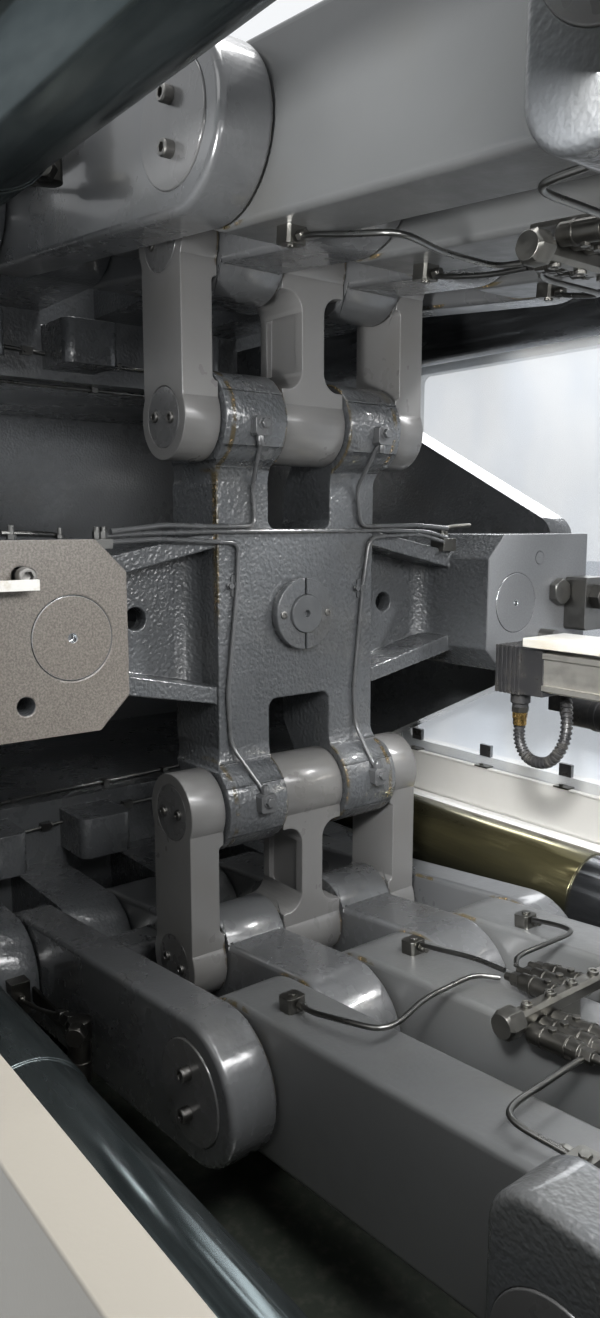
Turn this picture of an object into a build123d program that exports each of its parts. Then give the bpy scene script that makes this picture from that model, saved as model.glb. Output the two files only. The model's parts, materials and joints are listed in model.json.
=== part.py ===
from build123d import *
import os

# Five-point double-toggle clamp unit of an injection moulding machine, mould side closed.
# Millimetres. +X runs from the tail platen to the stationary platen, +Y away from the
# operator, +Z up. The origin is on the floor under the middle of the footprint.
# "Lower" pieces are modelled below the clamp axis, and "upper" pieces mirror them.

# Stations along the machine
BLOCK_FACE_X = 120.0
TAIL_WALL_X = (-1210.0, -1090.0)
TAIL_BEAM_FRONT_X = -500.0
MOVING_PLATEN_X = (1020.0, 1300.0)
FIXED_PLATEN_X = (1810.0, 2090.0)

# Platens, the guards beside them and the bed; the clamp axis is the platens' middle
PLATEN_HALF_W = 670.0
PLATEN_HALF_H = 680.0
PLATEN_EDGE_R = 40.0
PLATEN_FOOT_H = 60.0
GUARD_GAP = 35.0
GUARD_T = 40.0
GUARD_Y = (PLATEN_HALF_W + GUARD_GAP, PLATEN_HALF_W + GUARD_GAP + GUARD_T)
BED_TOP_Z = 560.0
BED_INNER_Y = 430.0
BED_LEDGE = 5.0
BED_OUTER_Y = GUARD_Y[1] + BED_LEDGE
AXIS_Z = BED_TOP_Z + PLATEN_FOOT_H + PLATEN_HALF_H
BED_X = (-1240.0, 2120.0)
BED_PLATE = 40.0
BED_RIB_COUNT = 6
BED_RIB_PLATE = 30.0
PAN_PLATE = 10.0
PAN_END_GAP = 20.0
PAN_LAP = 30.0
FOOT_Y = 560.0
FOOT_W = 180.0
FOOT_INSET = 20.0

# Tie bars
BAR_Y = 515.0
BAR_Z = 518.0
BAR_R = 75.0
BAR_STUB = 30.0
BAR_SLEEVE_R = 78.0
BAR_SLEEVE_END_X = 215.0
BAR_THREAD_R = 68.0
NUT_R = 125.0
NUT_LENGTH = 130.0
BOSS_R = 112.0
BOSS_LENGTH = 90.0

# Toggle pins, as X and height above or below the clamp axis
CROSS_PIN = (20.0, 271.0)
MID_PIN = (20.0, 494.0)
TAIL_PIN = (-290.0, 585.0)
KNEE_PIN = (242.0, 538.0)
FRONT_PIN = (774.0, 491.0)
MAIN_PIN_R = 50.0
SMALL_PIN_R = 32.0
MAIN_EYE_R = 90.0
TAIL_EYE_R = 84.0
SMALL_EYE_R = 56.0
MID_BOSS_R = 62.0

# Fits
FIT = 0.05
MID_PIVOT_PLAY = 3.0
FRONT_PIVOT_PLAY = 1.0
EYE_GAP = 2.0

# Widths of the interleaved eyes, measured out from the middle plane
CENTRE_HALF_W = 55.0
INNER_ARM_W = 101.0
FRONT_ARM_W = 97.0
OUTER_ARM_W = 66.0
SMALL_LINK_W = 55.0
OUTER_TAIL_LUG_W = 66.0
OUTER_PLATEN_LUG_W = 76.0
INNER_ARM_Y = (CENTRE_HALF_W + EYE_GAP, CENTRE_HALF_W + EYE_GAP + INNER_ARM_W)
FRONT_ARM_Y = (INNER_ARM_Y[1] + EYE_GAP, INNER_ARM_Y[1] + EYE_GAP + FRONT_ARM_W)
SMALL_LINK_Y = (INNER_ARM_Y[1] + EYE_GAP, INNER_ARM_Y[1] + EYE_GAP + SMALL_LINK_W)
OUTER_ARM_Y = (FRONT_ARM_Y[1] + EYE_GAP, FRONT_ARM_Y[1] + EYE_GAP + OUTER_ARM_W)
OUTER_TAIL_LUG_Y = (OUTER_ARM_Y[1] + EYE_GAP, OUTER_ARM_Y[1] + EYE_GAP + OUTER_TAIL_LUG_W)
OUTER_PLATEN_LUG_Y = (FRONT_ARM_Y[1] + EYE_GAP, FRONT_ARM_Y[1] + EYE_GAP + OUTER_PLATEN_LUG_W)

# Castings: pockets, bolt holes and nozzle cone
MOULD_BOLT_R = 12.0
MOULD_BOLT_DEPTH = 48.0
MOULD_BOLT_PITCH = 210.0
LOCATING_HOLE_R = 125.0
NOZZLE_CONE_R = 260.0
NOZZLE_CONE_DEPTH = 120.0
PLATEN_POCKET = (480.0, 130.0)
PLATEN_POCKET_AT = 520.0
PLATEN_POCKET_DEPTH = 90.0
TAIL_POCKET = (300.0, 240.0)
TAIL_POCKET_AT = 400.0
TAIL_POCKET_DEPTH = 45.0
TAIL_SIDE_PANEL = (480.0, 420.0)
TAIL_SIDE_PANEL_AT = 330.0
TAIL_SIDE_PANEL_DEPTH = 22.0
POCKET_R = 35.0
HOLLOW_R = 50.0
EJECTOR_HOLE_R = 62.0
EYE_LIP_X = -400.0
EYE_LIP_H = 478.0
EYE_LIP_R = 18.0

# Lug blocks of the moving platen
PLATEN_LUG_X = 700.0
PLATEN_LUG_Z = (362.0, 620.0)
PLATEN_LUG_R = 45.0
PLATEN_LUG_EDGE_R = 10.0

# Keeper covers on the main pins
COVER_R = 64.0
COVER_RECESS = 10.0
COVER_PROUD = 2.0

# Side arms of the tail platen
SIDE_WALL_T = 65.0
SIDE_WALL_INNER_Y = PLATEN_HALF_W - SIDE_WALL_T
SIDE_NOSE_X = 30.0
SIDE_NOSE_HALF_H = 131.0
SIDE_ROOT_HALF_H = 396.0
SIDE_NOSE_R = 45.0
BEAM_INNER_Z = 385.0

# Crosshead
HEAD_FRONT_X = 39.0
HEAD_BACK_X = -80.0
HEAD_HALF_H = 124.0
HEAD_EYE_R = 66.0
HEAD_PAD_X = 76.0
HEAD_PAD_H = 74.0
LEG_OUTER_Y = 145.0
LEG_STRAIGHT_H = 186.0
NOTCH_R = 14.0
WING_WEB_X = (-60.0, -32.0)
WING_ROOT_HALF_H = 124.0
WING_TIP_HALF_H = 84.0
WING_FLANGE = 26.0
WING_HOLE_R = 16.0
WING_FRONT_X = 33.0
WING_POCKET_R = 30.0
BLOCK_SIDE_GAP = 13.0
BLOCK_Y = (326.0, SIDE_WALL_INNER_Y - BLOCK_SIDE_GAP)
BLOCK_HALF_H = 114.0
BLOCK_DEPTH = 220.0
BLOCK_CHAMFER = 39.0
BLOCK_HOLE_R = 10.5
BLOCK_HOLE = (457.0, 74.0)
CENTRE_DRILL_R = 5.0
CENTRE_DRILL_DEPTH = 8.0
GUIDE_ROD_Y = 398.0
GUIDE_ROD_R = 50.0

# Clamp cylinder and its rod
ROD_R = 55.0
ROD_NECK_R = 28.0
ROD_END_PROUD = 19.0
COLLAR_R = 53.0
COLLAR_PROUD = 15.0
COLLAR_SPLIT = 3.0
CYLINDER_R = 135.0
CYLINDER_BORE_R = 100.0
CYLINDER_LENGTH = 1040.0
CYLINDER_FLANGE_R = 185.0
CYLINDER_CAP_RIM = 20.0
PORT_ROOT = 15.0
PISTON_GAP = 10.0
CYLINDER_FLANGE = 60.0
PORT_SIZE = 90.0
PORT_HEIGHT = 40.0
PISTON_LENGTH = 90.0

# Arms of the rear and front links
ARM_EDGE_R = 8.0
MID_BOSS_ROOT = 30.0
WEB_X = (-170.0, -98.0)
WEB_HALF_H = 55.0
WEB_EDGE_R = 14.0

# Shanks of the small links
SHANK_HALF_X = 50.0
SHANK_EYE_H = 46.0
SHANK_RECESS = 8.0
SHANK_ROOT_R = 26.0
MIDDLE_STEM_HALF = 20.0
STEM_POCKET_DEPTH = 9.0
STEM_POCKET_RIM = 16.0
STEM_POCKET_R = 12.0
SMALL_COVER_R = 40.0
SMALL_COVER_T = 6.0

# Guards
GUARD_X = (-560.0, 1400.0)
GUARD_POST_W = 90.0
GUARD_RISE = 600.0
GUARD_TOP_Z = AXIS_Z + GUARD_RISE
GUARD_CORNER_R = 20.0
GUARD_REBATE = 25.0
GUARD_REBATE_DEPTH = 12.0
PANE_T = 8.0
PANE_PLAY = 0.3
GUARD_RAIL_H = 110.0
NEAR_SILL_DROP = 132.0
NEAR_SILL_Z = AXIS_Z - NEAR_SILL_DROP
FAR_SILL_DROP = 405.0
FAR_SILL_Z = AXIS_Z - FAR_SILL_DROP

# Position transducer
SENSOR_X = (150.0, 180.0)
SENSOR_Y = (318.0, 382.0)
SENSOR_Z = (-128.0, -64.0)
SENSOR_CORNER_R = 6.0

os.makedirs("parts", exist_ok=True)


def side_plane(y):
    """Plane at distance y from the middle plane, drawn in X and Z, facing the operator."""
    return Plane.XZ.offset(-y)


def below(pin):
    """Point of a lower pin in X and Z above the floor."""
    return (pin[0], AXIS_Z - pin[1])


def bar_outline(y, start, start_r, end, end_r):
    """Outline of an arm with a round eye at each end."""
    with BuildSketch(side_plane(y)) as outline:
        with Locations(start):
            Circle(start_r)
        with Locations(end):
            Circle(end_r)
        make_hull()
    return outline.sketch


def disc_outline(y, centre, radius):
    with BuildSketch(side_plane(y)) as outline:
        with Locations(centre):
            Circle(radius)
    return outline.sketch


def pin_shaft(centre, radius, half_length):
    """Round pin across the machine."""
    with BuildPart() as shaft:
        extrude(disc_outline(half_length, centre, radius), amount=2 * half_length)
        chamfer(shaft.edges().filter_by(GeomType.CIRCLE), 2)
    return shaft.part


def upper_copy(shape):
    """Mirror image of a lower piece above the clamp axis."""
    return mirror(shape, about=Plane.XY.offset(AXIS_Z))


def far_copy(shape):
    """Mirror image of a near piece beyond the middle plane."""
    return mirror(shape, about=Plane.XZ)


def save(shape, name):
    shape.label = name
    export_step(shape, f"parts/{name}.step")


def both(shapes):
    """Several solids that do not touch, kept together."""
    return Compound(children=[solid for shape in shapes for solid in shape.solids()])


# Bed: two side beams of welded plate, cross members between them and the drip plate
with BuildPart() as bed_far:
    with BuildSketch(Plane.YZ.offset(BED_X[0])):
        with Locations((BED_INNER_Y, BED_TOP_Z - BED_PLATE)):
            Rectangle(BED_OUTER_Y - BED_INNER_Y, BED_PLATE, align=(Align.MIN, Align.MIN))
        with Locations((BED_INNER_Y, 0)):
            Rectangle(BED_OUTER_Y - BED_INNER_Y, BED_PLATE, align=(Align.MIN, Align.MIN))
        with Locations((BED_INNER_Y, 0)):
            Rectangle(BED_PLATE, BED_TOP_Z, align=(Align.MIN, Align.MIN))
    extrude(amount=BED_X[1] - BED_X[0])
    rib_pitch = (BED_X[1] - BED_X[0] - BED_RIB_PLATE) / (BED_RIB_COUNT - 1)
    for rib in range(BED_RIB_COUNT):
        with BuildSketch(Plane.YZ.offset(BED_X[0] + rib * rib_pitch)):
            with Locations((BED_INNER_Y, 0)):
                Rectangle(BED_OUTER_Y - BED_INNER_Y, BED_TOP_Z, align=(Align.MIN, Align.MIN))
        extrude(amount=BED_RIB_PLATE)

with BuildPart() as bed_cross_members:
    for rib in range(BED_RIB_COUNT):
        with BuildSketch(Plane.YZ.offset(BED_X[0] + rib * rib_pitch)):
            with Locations((0, BED_TOP_Z / 2)):
                Rectangle(2 * BED_INNER_Y, BED_TOP_Z - 2 * BED_PLATE)
        extrude(amount=BED_RIB_PLATE)

with BuildPart() as drip_plate:
    with BuildSketch(Plane.XY.offset(BED_TOP_Z)):
        with Locations(((TAIL_WALL_X[1] + MOVING_PLATEN_X[0]) / 2, 0)):
            Rectangle(MOVING_PLATEN_X[0] - TAIL_WALL_X[1] - 2 * PAN_END_GAP, 2 * (BED_INNER_Y + PAN_LAP))
    extrude(amount=PAN_PLATE)


def platen_block(x_range):
    """Plain platen with rounded long edges, tie bar holes and feet down to the bed."""
    with BuildPart() as block:
        with BuildSketch(Plane.YZ.offset(x_range[0])):
            with Locations((0, AXIS_Z)):
                RectangleRounded(2 * PLATEN_HALF_W, 2 * PLATEN_HALF_H, PLATEN_EDGE_R)
        extrude(amount=x_range[1] - x_range[0])
        with BuildSketch(Plane.XY.offset(BED_TOP_Z)):
            with Locations((sum(x_range) / 2, -FOOT_Y), (sum(x_range) / 2, FOOT_Y)):
                Rectangle(x_range[1] - x_range[0] - 2 * FOOT_INSET, FOOT_W)
        extrude(amount=PLATEN_FOOT_H)
        with BuildSketch(Plane.YZ.offset(x_range[0])):
            for y in (-BAR_Y, BAR_Y):
                for z in (AXIS_Z - BAR_Z, AXIS_Z + BAR_Z):
                    with Locations((y, z)):
                        Circle(BAR_R + FIT)
        extrude(amount=x_range[1] - x_range[0], mode=Mode.SUBTRACT)
    return block.part


def tail_lug_outline(y, pin, root_x, eye_r):
    """Round-ended lug from the tail platen out to the eye of a lower pin."""
    x, z = below(pin)
    with BuildSketch(side_plane(y)) as outline:
        with Locations((x, z)):
            Circle(eye_r)
        with Locations(((x + root_x) / 2, z)):
            Rectangle(abs(root_x - x), 2 * eye_r)
    return outline.sketch


def platen_lug_outline(y):
    """Square lug that stands on the moving platen, with rounded free corners."""
    with BuildSketch(side_plane(y)) as outline:
        with Locations((MOVING_PLATEN_X[0], AXIS_Z - sum(PLATEN_LUG_Z) / 2)):
            Rectangle(
                MOVING_PLATEN_X[0] - PLATEN_LUG_X,
                PLATEN_LUG_Z[1] - PLATEN_LUG_Z[0],
                align=(Align.MAX, Align.CENTER),
            )
        fillet(outline.vertices().group_by(Axis.X)[0], PLATEN_LUG_R)
    return outline.sketch


def mould_bolt_circles():
    """Outer ring of a four by four grid of mould bolt holes."""
    outer = 1.5 * MOULD_BOLT_PITCH
    inner = 0.5 * MOULD_BOLT_PITCH
    for y, z in ((outer, outer), (inner, outer), (outer, inner)):
        with Locations((y, AXIS_Z + z), (-y, AXIS_Z + z), (y, AXIS_Z - z), (-y, AXIS_Z - z)):
            Circle(MOULD_BOLT_R)


# Axis of the clamp, for turned shapes: X along the machine, radius upwards
AXIS_PLANE = Plane(origin=(0, 0, AXIS_Z), x_dir=(1, 0, 0), z_dir=(0, -1, 0))


# Tail platen: rear wall, top and bottom beams with lugs, and side walls with long noses
REAR_ARM_SPANS = [
    (-OUTER_ARM_Y[1], -OUTER_ARM_Y[0]),
    (-INNER_ARM_Y[1], -INNER_ARM_Y[0]),
    INNER_ARM_Y,
    OUTER_ARM_Y,
]
TAIL_LUG_SPANS = [
    (-OUTER_TAIL_LUG_Y[1], -OUTER_TAIL_LUG_Y[0]),
    (-FRONT_ARM_Y[1], -FRONT_ARM_Y[0]),
    (-CENTRE_HALF_W, CENTRE_HALF_W),
    FRONT_ARM_Y,
    OUTER_TAIL_LUG_Y,
]
PLATEN_LUG_SPANS = [
    (-OUTER_PLATEN_LUG_Y[1], -OUTER_PLATEN_LUG_Y[0]),
    (-INNER_ARM_Y[1], -INNER_ARM_Y[0]),
    INNER_ARM_Y,
    OUTER_PLATEN_LUG_Y,
]
with BuildPart() as tail_platen:
    with BuildSketch(Plane.YZ.offset(TAIL_WALL_X[0])):
        with Locations((0, AXIS_Z)):
            RectangleRounded(2 * PLATEN_HALF_W, 2 * PLATEN_HALF_H, PLATEN_EDGE_R)
    extrude(amount=TAIL_BEAM_FRONT_X - TAIL_WALL_X[0])
    # Hollow through which the crosshead travels
    with BuildSketch(Plane.YZ.offset(TAIL_WALL_X[1])):
        with Locations((0, AXIS_Z)):
            RectangleRounded(2 * SIDE_WALL_INNER_Y, 2 * BEAM_INNER_Z, HOLLOW_R)
    extrude(amount=TAIL_BEAM_FRONT_X - TAIL_WALL_X[1], mode=Mode.SUBTRACT)
    # Side noses that taper forwards beside the guide blocks
    for y_high in (PLATEN_HALF_W, -SIDE_WALL_INNER_Y):
        with BuildSketch(side_plane(y_high)):
            with BuildLine():
                FilletPolyline(
                    (TAIL_BEAM_FRONT_X, AXIS_Z - SIDE_ROOT_HALF_H),
                    (SIDE_NOSE_X, AXIS_Z - SIDE_NOSE_HALF_H),
                    (SIDE_NOSE_X, AXIS_Z + SIDE_NOSE_HALF_H),
                    (TAIL_BEAM_FRONT_X, AXIS_Z + SIDE_ROOT_HALF_H),
                    radius=SIDE_NOSE_R,
                )
                Line(
                    (TAIL_BEAM_FRONT_X, AXIS_Z + SIDE_ROOT_HALF_H),
                    (TAIL_BEAM_FRONT_X, AXIS_Z - SIDE_ROOT_HALF_H),
                )
            make_face()
        extrude(amount=PLATEN_HALF_W - SIDE_WALL_INNER_Y)
    # Rounded lips that cover the arm eyes between the lugs
    for low, high in REAR_ARM_SPANS:
        for level in (-1, 1):
            lip_base = AXIS_Z + level * (BEAM_INNER_Z + EYE_LIP_R)
            with BuildSketch(Plane.XY.offset(lip_base)):
                with Locations((TAIL_BEAM_FRONT_X - EYE_LIP_R, (low + high) / 2)):
                    Rectangle(
                        EYE_LIP_X - TAIL_BEAM_FRONT_X,
                        high - low,
                        align=(Align.MIN, Align.CENTER),
                    )
                with Locations((EYE_LIP_X - EYE_LIP_R, (low + high) / 2)):
                    SlotOverall(high - low, 2 * EYE_LIP_R, rotation=90)
            extrude(amount=level * (EYE_LIP_H - BEAM_INNER_Z - EYE_LIP_R))
    # Lugs for the tail pins
    for low, high in TAIL_LUG_SPANS:
        lower_lug = tail_lug_outline(high, TAIL_PIN, TAIL_BEAM_FRONT_X, TAIL_EYE_R)
        extrude(lower_lug, amount=high - low)
        extrude(mirror(lower_lug, about=Plane.XY.offset(AXIS_Z), mode=Mode.PRIVATE), amount=high - low)
    for z in (AXIS_Z - TAIL_PIN[1], AXIS_Z + TAIL_PIN[1]):
        extrude(
            disc_outline(OUTER_TAIL_LUG_Y[1], (TAIL_PIN[0], z), MAIN_PIN_R + FIT),
            amount=2 * OUTER_TAIL_LUG_Y[1],
            mode=Mode.SUBTRACT,
        )
        for y_high in (OUTER_TAIL_LUG_Y[1], COVER_RECESS - OUTER_TAIL_LUG_Y[1]):
            extrude(
                disc_outline(y_high, (TAIL_PIN[0], z), COVER_R + FIT),
                amount=COVER_RECESS,
                mode=Mode.SUBTRACT,
            )
    # Holes for tie bars, guide rods and piston rod
    with BuildSketch(Plane.YZ.offset(TAIL_WALL_X[0])):
        for y in (-BAR_Y, BAR_Y):
            for z in (AXIS_Z - BAR_Z, AXIS_Z + BAR_Z):
                with Locations((y, z)):
                    Circle(BAR_R + FIT)
        with Locations((-GUIDE_ROD_Y, AXIS_Z), (GUIDE_ROD_Y, AXIS_Z)):
            Circle(GUIDE_ROD_R + FIT)
        with Locations((0, AXIS_Z)):
            Circle(CYLINDER_BORE_R)
    extrude(amount=TAIL_BEAM_FRONT_X - TAIL_WALL_X[0], mode=Mode.SUBTRACT)
    # Shallow cast pockets in the rear wall and relief panels in the sides
    with BuildSketch(Plane.YZ.offset(TAIL_WALL_X[0])):
        for offset in (-TAIL_POCKET_AT, TAIL_POCKET_AT):
            with Locations((0, AXIS_Z + offset)):
                RectangleRounded(TAIL_POCKET[0], TAIL_POCKET[1], POCKET_R)
    extrude(amount=TAIL_POCKET_DEPTH, mode=Mode.SUBTRACT)
    for y_high in (PLATEN_HALF_W, TAIL_SIDE_PANEL_DEPTH - PLATEN_HALF_W):
        with BuildSketch(side_plane(y_high)):
            panel_x = (TAIL_WALL_X[0] + TAIL_BEAM_FRONT_X) / 2
            for offset in (-TAIL_SIDE_PANEL_AT, TAIL_SIDE_PANEL_AT):
                with Locations((panel_x, AXIS_Z + offset)):
                    RectangleRounded(TAIL_SIDE_PANEL[0], TAIL_SIDE_PANEL[1], POCKET_R)
        extrude(amount=TAIL_SIDE_PANEL_DEPTH, mode=Mode.SUBTRACT)
    # Feet on the bed
    with BuildSketch(Plane.XY.offset(BED_TOP_Z)):
        for y in (-FOOT_Y, FOOT_Y):
            with Locations(((TAIL_WALL_X[0] + TAIL_BEAM_FRONT_X) / 2, y)):
                Rectangle(TAIL_BEAM_FRONT_X - TAIL_WALL_X[0] - 2 * FOOT_INSET, FOOT_W)
    extrude(amount=PLATEN_FOOT_H)

# The tail casting in its rear wall, its two beams and its two sides
TAIL_SPLIT_H = BEAM_INNER_Z - HOLLOW_R
with BuildPart() as tail_rear_wall:
    add(tail_platen.part)
    split(bisect_by=Plane.YZ.offset(TAIL_WALL_X[1]), keep=Keep.BOTTOM)
with BuildPart() as tail_lower_beam:
    add(tail_platen.part)
    split(bisect_by=Plane.YZ.offset(TAIL_WALL_X[1]), keep=Keep.TOP)
    split(bisect_by=Plane.XY.offset(AXIS_Z - TAIL_SPLIT_H), keep=Keep.BOTTOM)
with BuildPart() as tail_upper_beam:
    add(tail_platen.part)
    split(bisect_by=Plane.YZ.offset(TAIL_WALL_X[1]), keep=Keep.TOP)
    split(bisect_by=Plane.XY.offset(AXIS_Z + TAIL_SPLIT_H), keep=Keep.TOP)
with BuildPart() as tail_side_far:
    add(tail_platen.part)
    split(bisect_by=Plane.YZ.offset(TAIL_WALL_X[1]), keep=Keep.TOP)
    split(bisect_by=Plane.XY.offset(AXIS_Z - TAIL_SPLIT_H), keep=Keep.TOP)
    split(bisect_by=Plane.XY.offset(AXIS_Z + TAIL_SPLIT_H), keep=Keep.BOTTOM)
    split(bisect_by=Plane.XZ, keep=Keep.BOTTOM)

# Moving platen: block with sliding bosses, mould bolt holes and ejector hole
with BuildPart() as moving_platen:
    add(platen_block(MOVING_PLATEN_X))
    with BuildSketch(Plane.YZ.offset(MOVING_PLATEN_X[0] - BOSS_LENGTH)):
        for y in (-BAR_Y, BAR_Y):
            for z in (AXIS_Z - BAR_Z, AXIS_Z + BAR_Z):
                with Locations((y, z)):
                    Circle(BOSS_R)
                    Circle(BAR_R + FIT, mode=Mode.SUBTRACT)
    extrude(amount=BOSS_LENGTH)
    with BuildSketch(Plane.YZ.offset(MOVING_PLATEN_X[0])):
        with Locations((0, AXIS_Z)):
            Circle(EJECTOR_HOLE_R)
    extrude(amount=MOVING_PLATEN_X[1] - MOVING_PLATEN_X[0], mode=Mode.SUBTRACT)
    with BuildSketch(Plane.YZ.offset(MOVING_PLATEN_X[1] - MOULD_BOLT_DEPTH)):
        mould_bolt_circles()
    extrude(amount=MOULD_BOLT_DEPTH, mode=Mode.SUBTRACT)

# Lower lugs of the moving platen: four, with the pin bore and recesses for the covers
with BuildPart() as platen_lugs:
    for low, high in PLATEN_LUG_SPANS:
        with BuildPart(mode=Mode.PRIVATE) as lug:
            extrude(platen_lug_outline(high), amount=high - low)
            fillet(lug.faces().sort_by(Axis.X)[0].edges().filter_by(Axis.Z), PLATEN_LUG_EDGE_R)
        add(lug.part)
    extrude(
        disc_outline(OUTER_PLATEN_LUG_Y[1], below(FRONT_PIN), MAIN_PIN_R + FIT),
        amount=2 * OUTER_PLATEN_LUG_Y[1],
        mode=Mode.SUBTRACT,
    )
    for y_high in (OUTER_PLATEN_LUG_Y[1], COVER_RECESS - OUTER_PLATEN_LUG_Y[1]):
        extrude(
            disc_outline(y_high, below(FRONT_PIN), COVER_R + FIT),
            amount=COVER_RECESS,
            mode=Mode.SUBTRACT,
        )

# Stationary platen with mould bolt holes, locating hole, nozzle cone and core pockets
with BuildPart() as stationary_platen:
    add(platen_block(FIXED_PLATEN_X))
    with BuildSketch(AXIS_PLANE):
        with BuildLine():
            Polyline(
                (FIXED_PLATEN_X[0] - 1, 0),
                (FIXED_PLATEN_X[0] - 1, LOCATING_HOLE_R),
                (FIXED_PLATEN_X[1] - NOZZLE_CONE_DEPTH, LOCATING_HOLE_R),
                (FIXED_PLATEN_X[1], NOZZLE_CONE_R),
                (FIXED_PLATEN_X[1] + 1, NOZZLE_CONE_R),
                (FIXED_PLATEN_X[1] + 1, 0),
                close=True,
            )
        make_face()
    revolve(axis=Axis((0, 0, AXIS_Z), (1, 0, 0)), mode=Mode.SUBTRACT)
    with BuildSketch(Plane.YZ.offset(FIXED_PLATEN_X[1] - PLATEN_POCKET_DEPTH)):
        for offset in (-PLATEN_POCKET_AT, PLATEN_POCKET_AT):
            with Locations((0, AXIS_Z + offset)):
                RectangleRounded(PLATEN_POCKET[0], PLATEN_POCKET[1], POCKET_R)
            with Locations((offset, AXIS_Z)):
                RectangleRounded(PLATEN_POCKET[1], PLATEN_POCKET[0], POCKET_R)
    extrude(amount=PLATEN_POCKET_DEPTH, mode=Mode.SUBTRACT)
    with BuildSketch(Plane.YZ.offset(FIXED_PLATEN_X[0])):
        mould_bolt_circles()
    extrude(amount=MOULD_BOLT_DEPTH, mode=Mode.SUBTRACT)

# Tie bars: a sleeve at the toggle end, the bar, and a threaded end at each nut
BAR_END_X = (TAIL_WALL_X[0] - NUT_LENGTH - BAR_STUB, FIXED_PLATEN_X[1] + NUT_LENGTH + BAR_STUB)
BAR_STEPS = [
    (BAR_END_X[0], TAIL_WALL_X[0], BAR_THREAD_R),
    (TAIL_WALL_X[0], TAIL_BEAM_FRONT_X, BAR_R),
    (TAIL_BEAM_FRONT_X, BAR_SLEEVE_END_X, BAR_SLEEVE_R),
    (BAR_SLEEVE_END_X, FIXED_PLATEN_X[1], BAR_R),
    (FIXED_PLATEN_X[1], BAR_END_X[1], BAR_THREAD_R),
]
with BuildPart() as tie_bar:
    for start, end, radius in BAR_STEPS:
        with BuildSketch(Plane.YZ.offset(start)):
            with Locations((-BAR_Y, AXIS_Z - BAR_Z)):
                Circle(radius)
        extrude(amount=end - start)


def nut_set(x_start):
    """Four round nuts with two flats, on the tie bar ends."""
    with BuildPart() as nuts:
        with BuildSketch(Plane.YZ.offset(x_start)):
            for y in (-BAR_Y, BAR_Y):
                for z in (AXIS_Z - BAR_Z, AXIS_Z + BAR_Z):
                    with Locations((y, z)):
                        RegularPolygon(NUT_R, 8, major_radius=False)
                        Circle(BAR_THREAD_R + FIT, mode=Mode.SUBTRACT)
        extrude(amount=NUT_LENGTH)
    return nuts.part


# Guide rod, flush with the guide block face
with BuildPart() as guide_rod:
    with BuildSketch(Plane.YZ.offset(TAIL_WALL_X[0])):
        with Locations((-GUIDE_ROD_Y, AXIS_Z)):
            Circle(GUIDE_ROD_R)
    extrude(amount=BLOCK_FACE_X - TAIL_WALL_X[0])
    with BuildSketch(Plane.YZ.offset(BLOCK_FACE_X - CENTRE_DRILL_DEPTH)):
        with Locations((-GUIDE_ROD_Y, AXIS_Z)):
            Circle(CENTRE_DRILL_R)
    extrude(amount=CENTRE_DRILL_DEPTH, mode=Mode.SUBTRACT)

# Clamp cylinder on the rear wall, its rod with the piston, and the split collar
CYLINDER_BACK_X = TAIL_WALL_X[0] - CYLINDER_LENGTH
with BuildPart() as clamp_cylinder:
    with BuildSketch(AXIS_PLANE):
        with BuildLine():
            Polyline(
                (TAIL_WALL_X[0], ROD_R + FIT),
                (TAIL_WALL_X[0], CYLINDER_FLANGE_R),
                (TAIL_WALL_X[0] - CYLINDER_FLANGE, CYLINDER_FLANGE_R),
                (TAIL_WALL_X[0] - CYLINDER_FLANGE, CYLINDER_R),
                (CYLINDER_BACK_X + CYLINDER_FLANGE, CYLINDER_R),
                (CYLINDER_BACK_X + CYLINDER_FLANGE, CYLINDER_R + CYLINDER_CAP_RIM),
                (CYLINDER_BACK_X, CYLINDER_R + CYLINDER_CAP_RIM),
                (CYLINDER_BACK_X, 0),
                (CYLINDER_BACK_X + CYLINDER_FLANGE, 0),
                (CYLINDER_BACK_X + CYLINDER_FLANGE, CYLINDER_BORE_R),
                (TAIL_WALL_X[0] - CYLINDER_FLANGE, CYLINDER_BORE_R),
                (TAIL_WALL_X[0] - CYLINDER_FLANGE, ROD_R + FIT),
                close=True,
            )
        make_face()
    revolve(axis=Axis((0, 0, AXIS_Z), (1, 0, 0)))
    port_set_in = CYLINDER_FLANGE + PORT_SIZE
    for port_x in (TAIL_WALL_X[0] - port_set_in, CYLINDER_BACK_X + port_set_in):
        with BuildSketch(Plane.XY.offset(AXIS_Z + CYLINDER_R - PORT_ROOT)):
            with Locations((port_x, 0)):
                Rectangle(PORT_SIZE, PORT_SIZE)
        extrude(amount=PORT_ROOT + PORT_HEIGHT)

PISTON_X = TAIL_WALL_X[0] - CYLINDER_FLANGE - PISTON_GAP
with BuildPart() as piston_rod:
    with BuildSketch(AXIS_PLANE):
        with BuildLine():
            Polyline(
                (HEAD_FRONT_X + ROD_END_PROUD - CENTRE_DRILL_DEPTH, 0),
                (HEAD_FRONT_X + ROD_END_PROUD - CENTRE_DRILL_DEPTH, CENTRE_DRILL_R),
                (HEAD_FRONT_X + ROD_END_PROUD, CENTRE_DRILL_R),
                (HEAD_FRONT_X + ROD_END_PROUD, ROD_NECK_R),
                (HEAD_BACK_X, ROD_NECK_R),
                (HEAD_BACK_X, ROD_R),
                (PISTON_X, ROD_R),
                (PISTON_X, CYLINDER_BORE_R - FIT),
                (PISTON_X - PISTON_LENGTH, CYLINDER_BORE_R - FIT),
                (PISTON_X - PISTON_LENGTH, 0),
                close=True,
            )
        make_face()
    revolve(axis=Axis((0, 0, AXIS_Z), (1, 0, 0)))

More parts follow.
